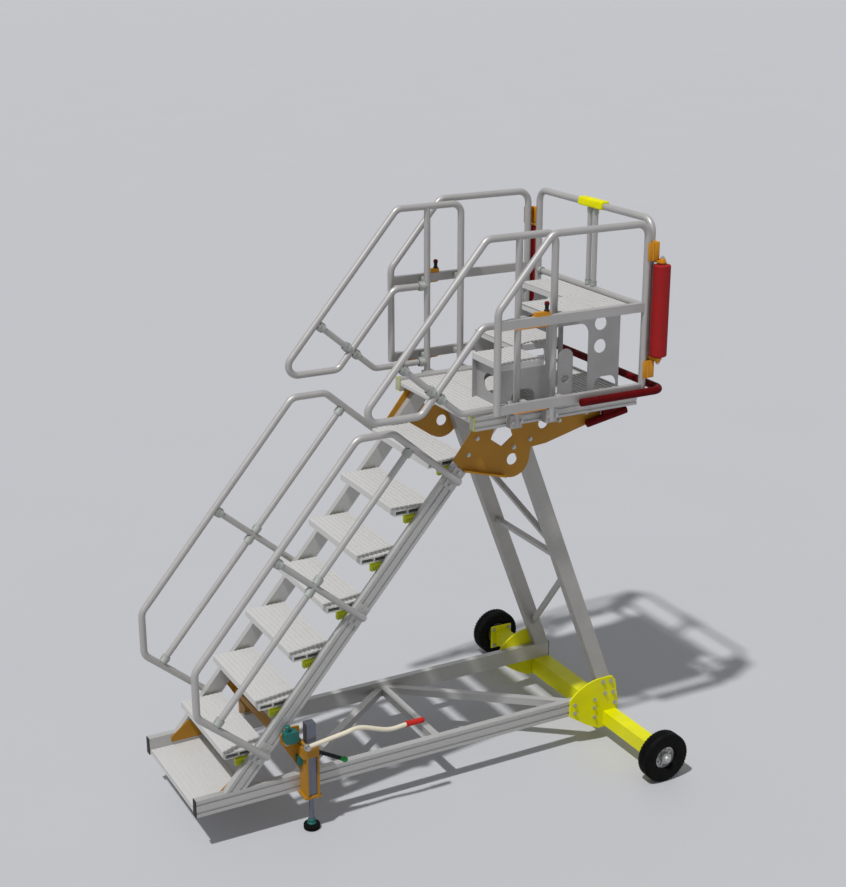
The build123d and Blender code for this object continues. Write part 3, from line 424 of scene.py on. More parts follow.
def lathe(bm, profile, start, axis, segments):
    """Turns (radius, way along) points about an axis, as a ring if they start off the axis."""
    turn = axis.normalized().to_track_quat("Z", "Y")
    rings = []
    for radius, along in profile:
        points = [Vector((radius * cos(a), radius * sin(a), along)) for a in circle(segments)]
        rings.append([start + turn @ point for point in points])
    loft(bm, rings, closed=profile[0][0] > 0)


def turned(name, profile, stands, segments, body, slot=None, finish=None):
    """A piece with one profile turned at each stand, given as a place and an axis."""
    bm = bmesh.new()
    for place, axis in stands:
        lathe(bm, profile, place, axis, segments)
    return from_bmesh(name, bm, body, slot, finish)


def arc(radius, centre, start, end, steps):
    """Points of a circular arc, angles in degrees."""
    angles = [radians(start + (end - start) * step / steps) for step in range(steps + 1)]
    return [(centre[0] + radius * cos(a), centre[1] + radius * sin(a)) for a in angles]


def prism(bm, outline, start, right, up, depth):
    """Pushes a flat outline of (right, up) points along a way."""
    near = [start + u * right + v * up for u, v in outline]
    rows = [[bm.verts.new(point + way) for point in near] for way in (Vector(), depth)]
    for row in rows:
        bm.faces.new(row)
    for step in range(len(near)):
        side = (step + 1) % len(near)
        bm.faces.new((rows[0][step], rows[0][side], rows[1][side], rows[1][step]))


def block(bm, x, y, z):
    """A block between two places along each axis."""
    outline = ((x[0], z[0]), (x[1], z[0]), (x[1], z[1]), (x[0], z[1]))
    prism(bm, outline, y[0] * Y_WAY, X_WAY, Z_WAY, (y[1] - y[0]) * Y_WAY)


def soften(bm, radius):
    """Rounds every edge a little."""
    edges = bm.edges[:]
    bmesh.ops.bevel(
        bm, geom=edges, offset=radius, segments=2, profile=0.5, affect="EDGES", clamp_overlap=True
    )


def smooth_path(corners, steps=10):
    """A soft curve through a few points."""
    ends = [2 * corners[0] - corners[1], *corners, 2 * corners[-1] - corners[-2]]
    path = []
    for before, start, end, after in zip(ends, ends[1:], ends[2:], ends[3:]):
        slope = (end - before) / 2
        bend = (2 * before - 5 * start + 4 * end - after) / 2
        twist = (3 * start - before - 3 * end + after) / 2
        for t in (step / steps for step in range(steps)):
            path.append(start + slope * t + bend * t ** 2 + twist * t ** 3)
    return [*path, corners[-1]]


def tube_along(bm, path, radius, segments=28):
    """A round tube, closed at its ends, along a path that keeps its Y."""
    rings = [[path[0]] * segments]
    for step, point in enumerate(path):
        way = path[min(step + 1, len(path) - 1)] - path[max(step - 1, 0)]
        rise = way.normalized().cross(Y_WAY)
        rings.append([point + radius * (cos(a) * Y_WAY + sin(a) * rise) for a in circle(segments)])
    rings.append([path[-1]] * segments)
    loft(bm, rings, closed=False)


class Spot(NamedTuple):
    """Where a repeated fitting stands, the way it faces, the way its length runs, its size."""

    place: Vector
    facing: Vector
    across: Vector = X_WAY
    span: tuple = (1, 1, 1)


class Grower:
    """A geometry node tree that places a shape on points and makes it real."""

    def __init__(self, name, finish, **sizes):
        self.tree = bpy.data.node_groups.new(name, "GeometryNodeTree")
        face = self.tree.interface
        face.new_socket("Geometry", in_out="INPUT", socket_type="NodeSocketGeometry")
        face.new_socket("Geometry", in_out="OUTPUT", socket_type="NodeSocketGeometry")
        for label in sizes:
            face.new_socket(label, in_out="INPUT", socket_type="NodeSocketFloat")
        self.finish = finish
        self.sizes = sizes
        self.entry = self.tree.nodes.new("NodeGroupInput")
        self.exit = self.tree.nodes.new("NodeGroupOutput")

    def add(self, kind, **inputs):
        """A node of the tree."""
        return add_node(self.tree, kind, **inputs)

    def size(self, label):
        """The output of a named input of the tree."""
        return self.entry.outputs[label]

    def share(self, whole, part=0.5):
        """A part of a length."""
        return reckon(self.tree, "MULTIPLY", whole, part)

    def total(self, first, second):
        """The sum of two lengths."""
        return reckon(self.tree, "ADD", first, second)

    def lift(self, geometry, height):
        """Geometry moved up by a height."""
        offset = self.add("ShaderNodeCombineXYZ", Z=height).outputs[0]
        moved = self.add("GeometryNodeTransform", Geometry=geometry, Translation=offset)
        return moved.outputs[0]

    def drum(self, radius, depth, sides):
        """A prism that stands on the ground plane."""
        node = self.add("GeometryNodeMeshCylinder", Vertices=sides, Radius=radius, Depth=depth)
        return self.lift(node.outputs["Mesh"], self.share(depth))

    def bar(self, size):
        """A square-edged bar about the origin."""
        return self.add("GeometryNodeMeshCube", Size=size).outputs["Mesh"]

    def join(self, *shapes):
        """Several shapes as one."""
        node = self.tree.nodes.new("GeometryNodeJoinGeometry")
        for shape in reversed(shapes):
            self.tree.links.new(shape, node.inputs[0])
        return node.outputs[0]

    def attribute(self, name):
        """A vector stored on the points."""
        node = self.add("GeometryNodeInputNamedAttribute", Name=name)
        node.data_type = "FLOAT_VECTOR"
        return node.outputs["Attribute"]

    def place(self, shape):
        """Puts the shape on each point, turned and sized, makes it real and sets its material."""
        aim = self.add("FunctionNodeAlignRotationToVector", Vector=self.attribute("facing"))
        aim.axis = "Z"
        turn = self.add("FunctionNodeAlignRotationToVector", Vector=self.attribute("across"))
        turn.axis = "X"
        turn.pivot_axis = "Z"
        self.tree.links.new(aim.outputs[0], turn.inputs["Rotation"])
        spots = self.add(
            "GeometryNodeInstanceOnPoints",
            Points=self.entry.outputs["Geometry"],
            Instance=shape,
            Rotation=turn.outputs[0],
            Scale=self.attribute("span"),
        )
        real = self.add("GeometryNodeRealizeInstances", Geometry=spots.outputs[0])
        dressed = self.add("GeometryNodeSetMaterial", Geometry=real.outputs[0])
        dressed.inputs["Material"].default_value = FINISHES[self.finish]
        self.tree.links.new(dressed.outputs[0], self.exit.inputs[0])

    def grow(self, name, spots, body, slot=None):
        """Runs the tree on the spots and keeps a plain mesh."""
        mesh = bpy.data.meshes.new(name)
        mesh.from_pydata([spot.place for spot in spots], [], [])
        for label in ("facing", "across", "span"):
            layer = mesh.attributes.new(label, "FLOAT_VECTOR", "POINT")
            values = [value for spot in spots for value in getattr(spot, label)]
            layer.data.foreach_set("vector", values)
        piece = bpy.data.objects.new(name, mesh)
        bpy.context.scene.collection.objects.link(piece)
        modifier = piece.modifiers.new(name, "NODES")
        modifier.node_group = self.tree
        for item in self.tree.interface.items_tree:
            if item.in_out == "INPUT" and item.name in self.sizes:
                modifier[item.identifier] = self.sizes[item.name]
        evaluated = piece.evaluated_get(bpy.context.evaluated_depsgraph_get())
        piece.data = bpy.data.meshes.new_from_object(evaluated)
        piece.modifiers.clear()
        return settle(piece, body, slot, self.finish)


HEAD_SIDES, WASHER_SIDES = 6, 18


def bolt_grower():
    """Hexagon heads on washers."""
    s = bpy.context.scene.platform_sizes
    sizes = {
        "Head Radius": s.bolt_head / 2,
        "Head Height": s.bolt_rise,
        "Washer Radius": s.washer / 2,
        "Washer Height": s.washer_rise,
    }
    g = Grower("Bolt Heads", "bolt", **sizes)
    washer = g.drum(g.size("Washer Radius"), g.size("Washer Height"), WASHER_SIDES)
    tall = g.total(g.size("Head Height"), g.size("Washer Height"))
    head = g.drum(g.size("Head Radius"), tall, HEAD_SIDES)
    g.place(g.join(washer, head))
    return g


# Tube clamps: a rim's share of the wall and of the length, and the size of the ear
RIM_WALL, RIM_LENGTH, EAR, COLLAR_SIDES = 0.4, 0.18, (0.056, 0.012, 0.020), 28


def collar_grower():
    """Split tube clamps: a sleeve with two rims and a bolted ear."""
    s = bpy.context.scene.platform_sizes
    sizes = {"Tube Radius": s.collar_bore, "Wall": s.collar_wall, "Length": s.collar_length}
    g = Grower("Tube Collars", "clamp", **sizes)
    outer = g.total(g.size("Tube Radius"), g.size("Wall"))
    sleeve = g.drum(outer, g.size("Length"), COLLAR_SIDES)
    rim_radius = g.total(outer, g.share(g.size("Wall"), RIM_WALL))
    rim = g.drum(rim_radius, g.share(g.size("Length"), RIM_LENGTH), COLLAR_SIDES)
    far_rim = g.lift(rim, g.share(g.size("Length"), 1 - RIM_LENGTH))
    ear = g.lift(g.bar(EAR), g.share(g.size("Length")))
    g.place(g.join(sleeve, rim, far_rim, ear))
    return g


def bar_grower(name, finish):
    """Square-edged bars whose spans are their sizes."""
    g = Grower(name, finish)
    g.place(g.bar((1, 1, 1)))
    return g


class PLATFORM_OT_paint(bpy.types.Operator):
    """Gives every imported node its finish"""

    bl_idname = "platform.paint"
    bl_label = "Paint the platform"

    def execute(self, context):
        mix_finishes()
        for name, node in frame["nodes"].items():
            node.data.materials.clear()
            node.data.materials.append(FINISHES[NODE_FINISH.get(name, SLOT_OF[name])])
        return {"FINISHED"}


# Treads and planks
TREADS, TREAD_DEPTH, TREAD_THICK, TREAD_GROOVES = 7, 0.245, 0.036, 8
GROOVE_PITCH, DECK_GROOVE_PITCH = 0.028, 0.030
DECK_PLANKS, DECK_GROOVES, BASE_GROOVES = 4, 8, 11
RIB_END = 0.004                         # from the end of a plank to its ribs
BASE_END = 0.012                        # the same on the bottom step, besides RIB_END
STEP_PLANKS = (                         # X from the foot, Y, height on the deck
    ((1.860, 2.136), (-0.380, -0.070), 0.259),
    ((2.140, 2.456), (-0.070, 0.380), 0.259),
    ((2.170, 2.456), (-0.380, -0.070), 0.509),
    ((2.460, 2.668), (-0.380, 0.380), 0.509),
)


def tread_corners():
    """Front edge and top of every tread, from the box of them all."""
    low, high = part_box("treads")
    run = (high.x - low.x - TREAD_DEPTH) / (TREADS - 1)
    rise = (high.z - low.z - TREAD_THICK) / (TREADS - 1)
    return [(low.x + step * run, low.z + TREAD_THICK + step * rise) for step in range(TREADS)]


class PLATFORM_OT_plank_ribs(bpy.types.Operator):
    """Adds grip ribs to the treads, the bottom step, the deck and the deck steps"""

    bl_idname = "platform.plank_ribs"
    bl_label = "Plank ribs"

    def execute(self, context):
        bars = bar_grower("Plank Ribs", "tread_aluminium")
        rows = {
            "tread_ribs": self.treads(),
            "base_step_ribs": self.base_step(),
            "deck_ribs": self.deck(),
            "deck_step_ribs": self.deck_steps(),
        }
        for name, spots in rows.items():
            bars.grow(name, list(spots), "platform", "tread_aluminium")
        return {"FINISHED"}

    def ribs(self, x, y, top, half_span, grooves, pitch):
        """Spots of the ribs on the lands between the grooves of one plank."""
        s = bpy.context.scene.platform_sizes
        span = (s.rib_width, 2 * (half_span - RIB_END), 2 * s.rib_rise)
        for land in range(grooves + 1):
            rib_x = x + (land - grooves / 2) * pitch
            yield Spot(Vector((rib_x, y, top)), Z_WAY, span=span)

    def treads(self):
        """Ribs of the stair's treads."""
        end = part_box("treads")[1].y
        for front, top in tread_corners():
            yield from self.ribs(front + TREAD_DEPTH / 2, 0, top, end, TREAD_GROOVES, GROOVE_PITCH)

    def base_step(self):
        """Ribs of the bottom step."""
        low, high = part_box("base_step")
        x = (low.x + high.x) / 2
        return self.ribs(x, 0, high.z, high.y - BASE_END, BASE_GROOVES, DECK_GROOVE_PITCH)

    def deck(self):
        """Ribs of the deck's planks."""
        low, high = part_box("deck_planks")
        width = (high.x - low.x) / DECK_PLANKS
        for plank in range(DECK_PLANKS):
            x = low.x + (plank + 0.5) * width
            yield from self.ribs(x, 0, high.z, high.y, DECK_GROOVES, DECK_GROOVE_PITCH)

    def deck_steps(self):
        """Ribs of the step unit's planks."""
        for (x0, x1), (y0, y1), rise in STEP_PLANKS:
            grooves = int((x1 - x0) / GROOVE_PITCH)
            x, y, top = FOOT_X + (x0 + x1) / 2, (y0 + y1) / 2, DECK_TOP + rise
            yield from self.ribs(x, y, top, (y1 - y0) / 2, grooves, GROOVE_PITCH)


# Clips under the tread ends, with a comb at their front, heights from the tread's top
CLIP_SET_BACK, CLIP_IN, CLIP_OUT, CLIP_EDGE = 0.055, 0.332, 0.360, 0.0008
CLIP_TEETH, CLIP_TOOTH, CLIP_PITCH = 3, 0.009, 0.014
CLIP_TOP, CLIP_SLOT, CLIP_FOOT, CLIP_BOTTOM = -0.036, -0.046, -0.070, -0.078
CLIP_TAIL = ((0.186, CLIP_FOOT), (0.194, -0.062), (0.194, CLIP_TOP))


class PLATFORM_OT_tread_clips(bpy.types.Operator):
    """Makes the combed clips under the tread ends"""

    bl_idname = "platform.tread_clips"
    bl_label = "Tread clips"

    def execute(self, context):
        outline = [(0, CLIP_TOP)]
        for tooth in range(CLIP_TEETH):
            x = tooth * CLIP_PITCH
            outline += [(x, CLIP_BOTTOM), (x + CLIP_TOOTH, CLIP_BOTTOM)]
            outline += [(x + CLIP_TOOTH, CLIP_SLOT), (x + CLIP_PITCH, CLIP_SLOT)]
        outline += [(CLIP_TEETH * CLIP_PITCH, CLIP_FOOT), *CLIP_TAIL]
        bm = bmesh.new()
        for front, top in tread_corners():
            for sign in SIDES.values():
                corner = Vector((front + CLIP_SET_BACK, sign * CLIP_IN, top))
                prism(bm, outline, corner, X_WAY, Z_WAY, sign * (CLIP_OUT - CLIP_IN) * Y_WAY)
        soften(bm, CLIP_EDGE)
        clips = from_bmesh("combed_clips", bm, "platform", "clip_plastic")
        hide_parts("tread_clips")
        return {"FINISHED"}


# End caps of the deck rails
CAP_THICK, CAP_WIDTH, CAP_RIM, CAP_EDGE, PLUG_EDGE = 0.006, 0.052, 0.005, 0.0008, 0.002


class PLATFORM_OT_deck_caps(bpy.types.Operator):
    """Makes the thin end caps of the deck rails"""

    bl_idname = "platform.deck_caps"
    bl_label = "Deck rail caps"

    def execute(self, context):
        low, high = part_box("deck_clips")
        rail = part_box("deck_rails")[1].y
        rims, plugs = bmesh.new(), bmesh.new()
        x = (high.x - CAP_THICK, high.x)
        for sign in SIDES.values():
            y0, y1 = sign * (rail - CAP_WIDTH), sign * rail
            edge = sign * CAP_RIM
            for y in ((y0, y0 + edge), (y1 - edge, y1)):
                block(rims, x, y, (low.z, high.z))
            for z in ((low.z, low.z + CAP_RIM), (high.z - CAP_RIM, high.z)):
                block(rims, x, (y0 + edge, y1 - edge), z)
            block(plugs, x, (y0 + edge, y1 - edge), (low.z + CAP_RIM, high.z - CAP_RIM))
        soften(rims, CAP_EDGE)
        soften(plugs, PLUG_EDGE)
        caps = from_bmesh("deck_cap_rims", rims, "platform", "clip_plastic")
        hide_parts("deck_clips")
        from_bmesh("deck_cap_plugs", plugs, "platform", "aluminium", "rail")
        return {"FINISHED"}


# Locks between the handrail posts and the guard bars: strips under the bars, links to the posts
GUARD_Y, GUARD_BAR, BAR_HALF = 0.610, 0.015, 0.025
STRIP_X, STRIP_HALF, STRIP_WIDE, STRIP_THICK = 1.900, 0.108, 0.017, 0.006
STRIP_TAPER, STRIP_TIP, STRIP_EDGE = 0.012, 0.001, 0.0008
LINK, LINK_HALF, LINK_IN, LINK_EDGE = 0.034, 0.015, 0.012, 0.003


class PLATFORM_OT_guard_locks(bpy.types.Operator):
    """Makes the lock strips under the guard bars and the links to the posts"""

    bl_idname = "platform.guard_locks"
    bl_label = "Guard locks"

    def execute(self, context):
        low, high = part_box("guard_locks")
        flat, tip = STRIP_HALF - STRIP_TAPER, STRIP_THICK - STRIP_TIP
        outline = [(-STRIP_HALF, tip), (-flat, 0), (flat, 0), (STRIP_HALF, tip)]
        outline += [(STRIP_HALF, STRIP_THICK), (-STRIP_HALF, STRIP_THICK)]
        strips, links = bmesh.new(), bmesh.new()
        for sign in SIDES.values():
            y = (sign * (UPPER_Y + LINK_IN), sign * (GUARD_Y - GUARD_BAR))
            for bar in (low.z + STRIP_THICK + BAR_HALF, high.z - BAR_HALF):
                under = bar - BAR_HALF - STRIP_THICK
                start = Vector((FOOT_X + STRIP_X, sign * GUARD_Y - STRIP_WIDE, under))
                prism(strips, outline, start, X_WAY, Z_WAY, 2 * STRIP_WIDE * Y_WAY)
                for post in POST_X:
                    block(links, from_foot((post, post + LINK)), y, (bar - LINK_HALF, bar + LINK_HALF))
        soften(strips, STRIP_EDGE)
        soften(links, LINK_EDGE)
        locks = from_bmesh("lock_strips", strips, "platform", "orange_paint")
        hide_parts("guard_locks")
        from_bmesh("lock_links", links, "platform", "aluminium", "clamp")
        return {"FINISHED"}


# Hinged brackets of the rollers: leaves, knuckle and spacer by X from the foot and by |Y|
LEAVES, LEAF_FACE, LEAF_THICK, LEAF_INSET = ((2.623, 2.652), (2.659, 2.695)), 0.630, 0.007, 0.016
KNUCKLE_X, KNUCKLE, KNUCKLE_SIDES = 2.6555, 0.0065, 20
SPACER_X, FRONT_POST_FACE, FOOT_PLATE = (2.680, 2.698), 0.587, 0.006
ARM_GAP, ARM_THICK, ARM_HALF, PLATE_EDGE = 0.008, 0.012, 0.022, 0.001
PIN_CAP = (
    (0.0, -0.002), (0.010, -0.002), (0.010, 0.019), (0.016, 0.020), (0.016, 0.029), (0.012, 0.035),
    (0.0, 0.035),
)
PIN_CAP_TOP, PIN_SIDES = PIN_CAP[-1][1], 28


class PLATFORM_OT_roller_brackets(bpy.types.Operator):
    """Makes the hinged brackets that carry the corner rollers"""

    bl_idname = "platform.roller_brackets"
    bl_label = "Roller brackets"

    def execute(self, context):
        low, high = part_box("roller_brackets")
        plates, round_parts = bmesh.new(), bmesh.new()
        for side, sign in SIDES.items():
            pin = JOINT_PLACE[f"roller_{side}_spin"]
            bottom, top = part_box(f"roller_{side}")
            for start, end, way in ((top.z, high.z, 1), (bottom.z, low.z, -1)):
                seat = start + way * ARM_GAP
                rise = (seat + way * LEAF_INSET, end - way * LEAF_INSET)
                self.leaves(plates, sign, rise, (seat, rise[0] + way * FOOT_PLATE))
                self.knuckle(round_parts, sign, rise, way)
                self.arm(plates, pin, sign, seat, way)
                cap = Vector((pin.x, pin.y, start))
                lathe(round_parts, PIN_CAP, cap, way * Z_WAY, PIN_SIDES)
        soften(plates, PLATE_EDGE)
        brackets = from_bmesh("hinged_brackets", plates, "platform", "orange_paint")
        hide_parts("roller_brackets")
        from_bmesh("bracket_pins", round_parts, "platform", "orange_paint")
        return {"FINISHED"}

    def leaves(self, bm, sign, rise, foot):
        """Two hinge leaves, the spacer behind them and a plate at its foot."""
        inner, face, outer = (sign * y for y in (FRONT_POST_FACE, LEAF_FACE, LEAF_FACE + LEAF_THICK))
        for leaf in LEAVES:
            block(bm, from_foot(leaf), (face, outer), rise)
        block(bm, from_foot(SPACER_X), (inner, face), rise)
        block(bm, from_foot(SPACER_X), (inner, outer), foot)

    def knuckle(self, bm, sign, rise, way):
        """The round knuckle between the leaves."""
        tall = abs(rise[1] - rise[0])
        profile = ((0.0, 0.0), (KNUCKLE, 0.0), (KNUCKLE, tall), (0.0, tall))
        start = Vector((FOOT_X + KNUCKLE_X, sign * (LEAF_FACE + LEAF_THICK / 2), rise[0]))
        lathe(bm, profile, start, way * Z_WAY, KNUCKLE_SIDES)

    def arm(self, bm, pin, sign, seat, way):
        """A plate from the front post to the pin, round at the pin."""
        back = abs(pin.y) - FRONT_POST_FACE
        outline = [*arc(ARM_HALF, (0, 0), 0, 180, 12), (-ARM_HALF, -back), (ARM_HALF, -back)]
        start = Vector((pin.x, pin.y, seat))
        prism(bm, outline, start, X_WAY, sign * Y_WAY, way * ARM_THICK * Z_WAY)


# Bolt places on the axle plates and the deck brackets, as X and Z
AXLE_BOLTS = (
    (1.001, 0.286), (1.002, 0.232), (1.144, 0.289), (1.145, 0.234), (1.148, 0.170), (1.199, 0.394),
    (1.217, 0.315), (1.256, 0.390), (1.276, 0.311), (1.290, 0.237),
)
BRACKET_BOLTS = (
    (0.534, 1.999), (0.245, 2.000), (0.300, 2.085), (0.640, 2.030), (0.830, 2.110), (1.010, 2.130),
)
BRACKET_FACE = 0.408

# Plates that clamp the lower handrails to the stringers
CLAMP_OUT, STRINGER_FACE = -0.076, 0.400
CLAMP_PLATE, CLAMP_BOLT = (0.124, 0.074, 0.014), 0.042

# Feet of the handrail posts on the deck rails, and flanges of the axle behind the wheels
POST_FOOT_FACE, POST_FOOT_BOLT, POST_FOOT_DROP = 0.514, 0.027, 0.028
FLANGE_BOLT, FLANGE_BACK = 0.057, 0.136


class PLATFORM_OT_bolts(bpy.types.Operator):
    """Adds bolt heads to plates, clamps, flanges, post feet and roller pins"""

    bl_idname = "platform.bolts"
    bl_label = "Bolts and nuts"

    def execute(self, context):
        plate_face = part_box("axle_plates")[1].y
        flange_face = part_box("axle_beam")[1].y - FLANGE_BACK
        clamp_face = STRINGER_FACE + CLAMP_PLATE[2] / 2
        spots = []
        for side, sign in SIDES.items():
            out = sign * Y_WAY
            for face, places in ((plate_face, AXLE_BOLTS), (BRACKET_FACE, BRACKET_BOLTS)):
                spots += [Spot(Vector((x, sign * face, z)), out) for x, z in places]
            for along in HAND_BARS:
                for shift in (-CLAMP_BOLT, CLAMP_BOLT):
                    place = stair_point(along + shift, CLAMP_OUT, sign * clamp_face)
                    spots.append(Spot(place, out))
            for x in from_foot(POST_X):
                for shift in (-POST_FOOT_BOLT, POST_FOOT_BOLT):
                    place = Vector((x + shift, sign * POST_FOOT_FACE, DECK_TOP - POST_FOOT_DROP))
                    spots.append(Spot(place, out))
            wheel = JOINT_PLACE[f"wheel_{side}_spin"]
            for dx in (-FLANGE_BOLT, FLANGE_BOLT):
                for dz in (-FLANGE_BOLT, FLANGE_BOLT):
                    place = Vector((wheel.x + dx, sign * flange_face, wheel.z + dz))
                    spots.append(Spot(place, -out))
            pin = JOINT_PLACE[f"roller_{side}_spin"]
            low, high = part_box(f"roller_{side}")
            for end, way in ((low.z, -1), (high.z, 1)):
                place = Vector((pin.x, pin.y, end + way * PIN_CAP_TOP))
                spots.append(Spot(place, way * Z_WAY))
        bolt_grower().grow("platform_bolts", spots, "platform")
        return {"FINISHED"}


class PLATFORM_OT_clamp_plates(bpy.types.Operator):
    """Adds the plates that clamp the lower handrails to the stringers"""

    bl_idname = "platform.clamp_plates"
    bl_label = "Clamp plates"

    def execute(self, context):
        spots = []
        for sign in SIDES.values():
            for along in HAND_BARS:
                place = stair_point(along, CLAMP_OUT, sign * STRINGER_FACE)
                spots.append(Spot(place, sign * Y_WAY, CLIMB, CLAMP_PLATE))
        bar_grower("Clamp Plates", "stringer").grow("clamp_plates", spots, "platform", "aluminium")
        return {"FINISHED"}


# Tube joints: handrails by their lines out from the pitch line, front guard by its places
LOWER_Y, MIDDLE_OUT, OUTER_OUT = 0.422, 0.281, 0.583
UPPER_OUT, UPPER_MIDDLE_OUT, BRACE_ALONG = 0.685, 0.397, 2.290
POST_RAILS = (0.064, 0.522)             # heights on the deck of the rails that end on the first post
FRONT_X, FRONT_Y, KNEE, FRONT_TOP = 2.691, 0.568, 0.524, 1.013
BAR_CLEAR = 0.028                       # from the middle of the front bar to the clamps under it
CENTRE_Y, CENTRE_SPAN, KNEE_SPAN = 0.028, (0.75, 0.75, 0.6), (0.88, 0.88, 0.8)


class PLATFORM_OT_tube_clamps(bpy.types.Operator):
    """Adds split clamps where tubes meet"""

    bl_idname = "platform.tube_clamps"
    bl_label = "Tube clamps"

    def execute(self, context):
        spots = []
        for sign in SIDES.values():
            spots += self.lower_handrail(sign * LOWER_Y)
            spots += self.upper_handrail(sign * UPPER_Y)
            spots += self.front_guard(sign)
        collar_grower().grow("tube_clamps", spots, "platform", "aluminium")
        return {"FINISHED"}

    def lower_handrail(self, y):
        """Clamps of the middle rail on the bars, and of the middle bar on the handrail."""
        low, mid, high = HAND_BARS
        for along, way in ((low, 1), (mid, -1), (mid, 1), (high, -1)):
            yield Spot(stair_point(along + way * TUBE, MIDDLE_OUT, y), way * CLIMB, OUTWARD)
        yield Spot(stair_point(mid, OUTER_OUT - TUBE, y), -OUTWARD, CLIMB)

    def upper_handrail(self, y):
        """Clamps of the brace on the bent tube, and of the rails on the first post."""
        yield Spot(stair_point(BRACE_ALONG, UPPER_OUT - TUBE, y), -OUTWARD, CLIMB)
        for way in (-1, 1):
            place = stair_point(BRACE_ALONG, UPPER_MIDDLE_OUT + way * TUBE, y)
            yield Spot(place, way * OUTWARD, CLIMB)
        for rise in POST_RAILS:
            yield Spot(Vector((FOOT_X + POST_X[0] - TUBE, y, DECK_TOP + rise)), -X_WAY, Z_WAY)

    def front_guard(self, sign):
        """Clamps of the knee rail on the tube, and of a centre post on both rails."""
        x = FOOT_X + FRONT_X
        knee = Vector((x, sign * (FRONT_Y - TUBE), DECK_TOP + KNEE))
        yield Spot(knee, -sign * Y_WAY, Z_WAY, KNEE_SPAN)
        for rise, way in ((KNEE + TUBE, 1), (FRONT_TOP - BAR_CLEAR, -1)):
            place = Vector((x, sign * CENTRE_Y, DECK_TOP + rise))
            yield Spot(place, way * Z_WAY, Y_WAY, CENTRE_SPAN)


# Pad on the front bar
PAD_SQUARENESS, PAD_FLARE, PAD_SEGMENTS, PAD_BORE, PAD_CREASE = 5.0, 0.10, 72, 0.0203, 50
PAD_ENDS = ((0.0, 0.006), (0.0015, 0.003), (0.004, 0.001), (0.008, 0.0))     # way in from an end, inset
PAD_RINGS = (-0.6, -0.2, 0.2, 0.6)      # shares of the half length


class PLATFORM_OT_front_pad(bpy.types.Operator):
    """Makes the square-shouldered pad on the front bar"""

    bl_idname = "platform.front_pad"
    bl_label = "Front pad"

    def execute(self, context):
        low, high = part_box("front_pad")
        bar = middle("front_pad")
        centre = bar + context.scene.platform_sizes.pad_lift * Z_WAY
        half = (high.y - low.y) / 2
        rings = [self.ring(centre, -half + way, inset) for way, inset in PAD_ENDS]
        rings += [self.ring(centre, half * share, 0.0) for share in PAD_RINGS]
        rings += [self.ring(centre, half - way, inset) for way, inset in reversed(PAD_ENDS)]
        rings += [self.bore(bar, half), self.bore(bar, -half)]
        bm = bmesh.new()
        loft(bm, rings)
        pad = from_bmesh("front_bar_pad", bm, "platform", "pad_yellow", crease=PAD_CREASE)
        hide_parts("front_pad")
        return {"FINISHED"}

    def squared(self, value):
        """A cosine or sine pushed out towards a rounded square."""
        return abs(value) ** (2 / PAD_SQUARENESS) * (1 if value > 0 else -1)

    def ring(self, centre, y, inset):
        """A rounded square section that flares towards its lower edge."""
        s = bpy.context.scene.platform_sizes
        points = []
        for angle in circle(PAD_SEGMENTS):
            across, up = self.squared(cos(angle)), self.squared(sin(angle))
            x = across * (s.pad_half_width - inset) * (1 - PAD_FLARE * up)
            points.append(centre + Vector((x, y, up * (s.pad_half_height - inset))))
        return points

    def bore(self, centre, y):
        """The round opening for the bar."""
        angles = circle(PAD_SEGMENTS)
        return [centre + Vector((PAD_BORE * cos(a), y, PAD_BORE * sin(a))) for a in angles]


# Tyre section: half width, shoulder, bed on the rim, wall past the lip, grooves across the crown
TYRE_HALF, TYRE_SHOULDER, TYRE_LIP, TYRE_SIDES = 0.044, 0.024, 0.069, 96
TYRE_BED = ((0.0722, -0.019), (TYRE_LIP, -0.020))
TYRE_WALL = (                           # radius past the lip, way in from the half width
    (0.0, 0.012), (0.004, 0.005), (0.014, 0.0), (0.030, -0.0008), (0.033, -0.0008), (0.036, 0.0),
)
GROOVES, GROOVE_HALF, GROOVE_DEEP = (-0.013, 0.0, 0.013), 0.0022, 0.004
SHOULDER_ANGLE, TREAD_BLOCK = radians(45), (0.011, 0.013, 0.005)


def tyre_profile(radius):
    """Closed section of a tyre with three crown grooves and lips over the rim."""
    wall = [*TYRE_BED, *[(TYRE_LIP + rise, inset - TYRE_HALF) for rise, inset in TYRE_WALL]]
    wall += arc(TYRE_SHOULDER, (radius - TYRE_SHOULDER, TYRE_SHOULDER - TYRE_HALF), -90, 0, 8)
    floor = radius - GROOVE_DEEP
    crown = []
    for groove in GROOVES:
        low, high = groove - GROOVE_HALF, groove + GROOVE_HALF
        crown += [(radius, low), (floor, low), (floor, high), (radius, high)]
    return wall + crown + [(r, -y) for r, y in reversed(wall)]


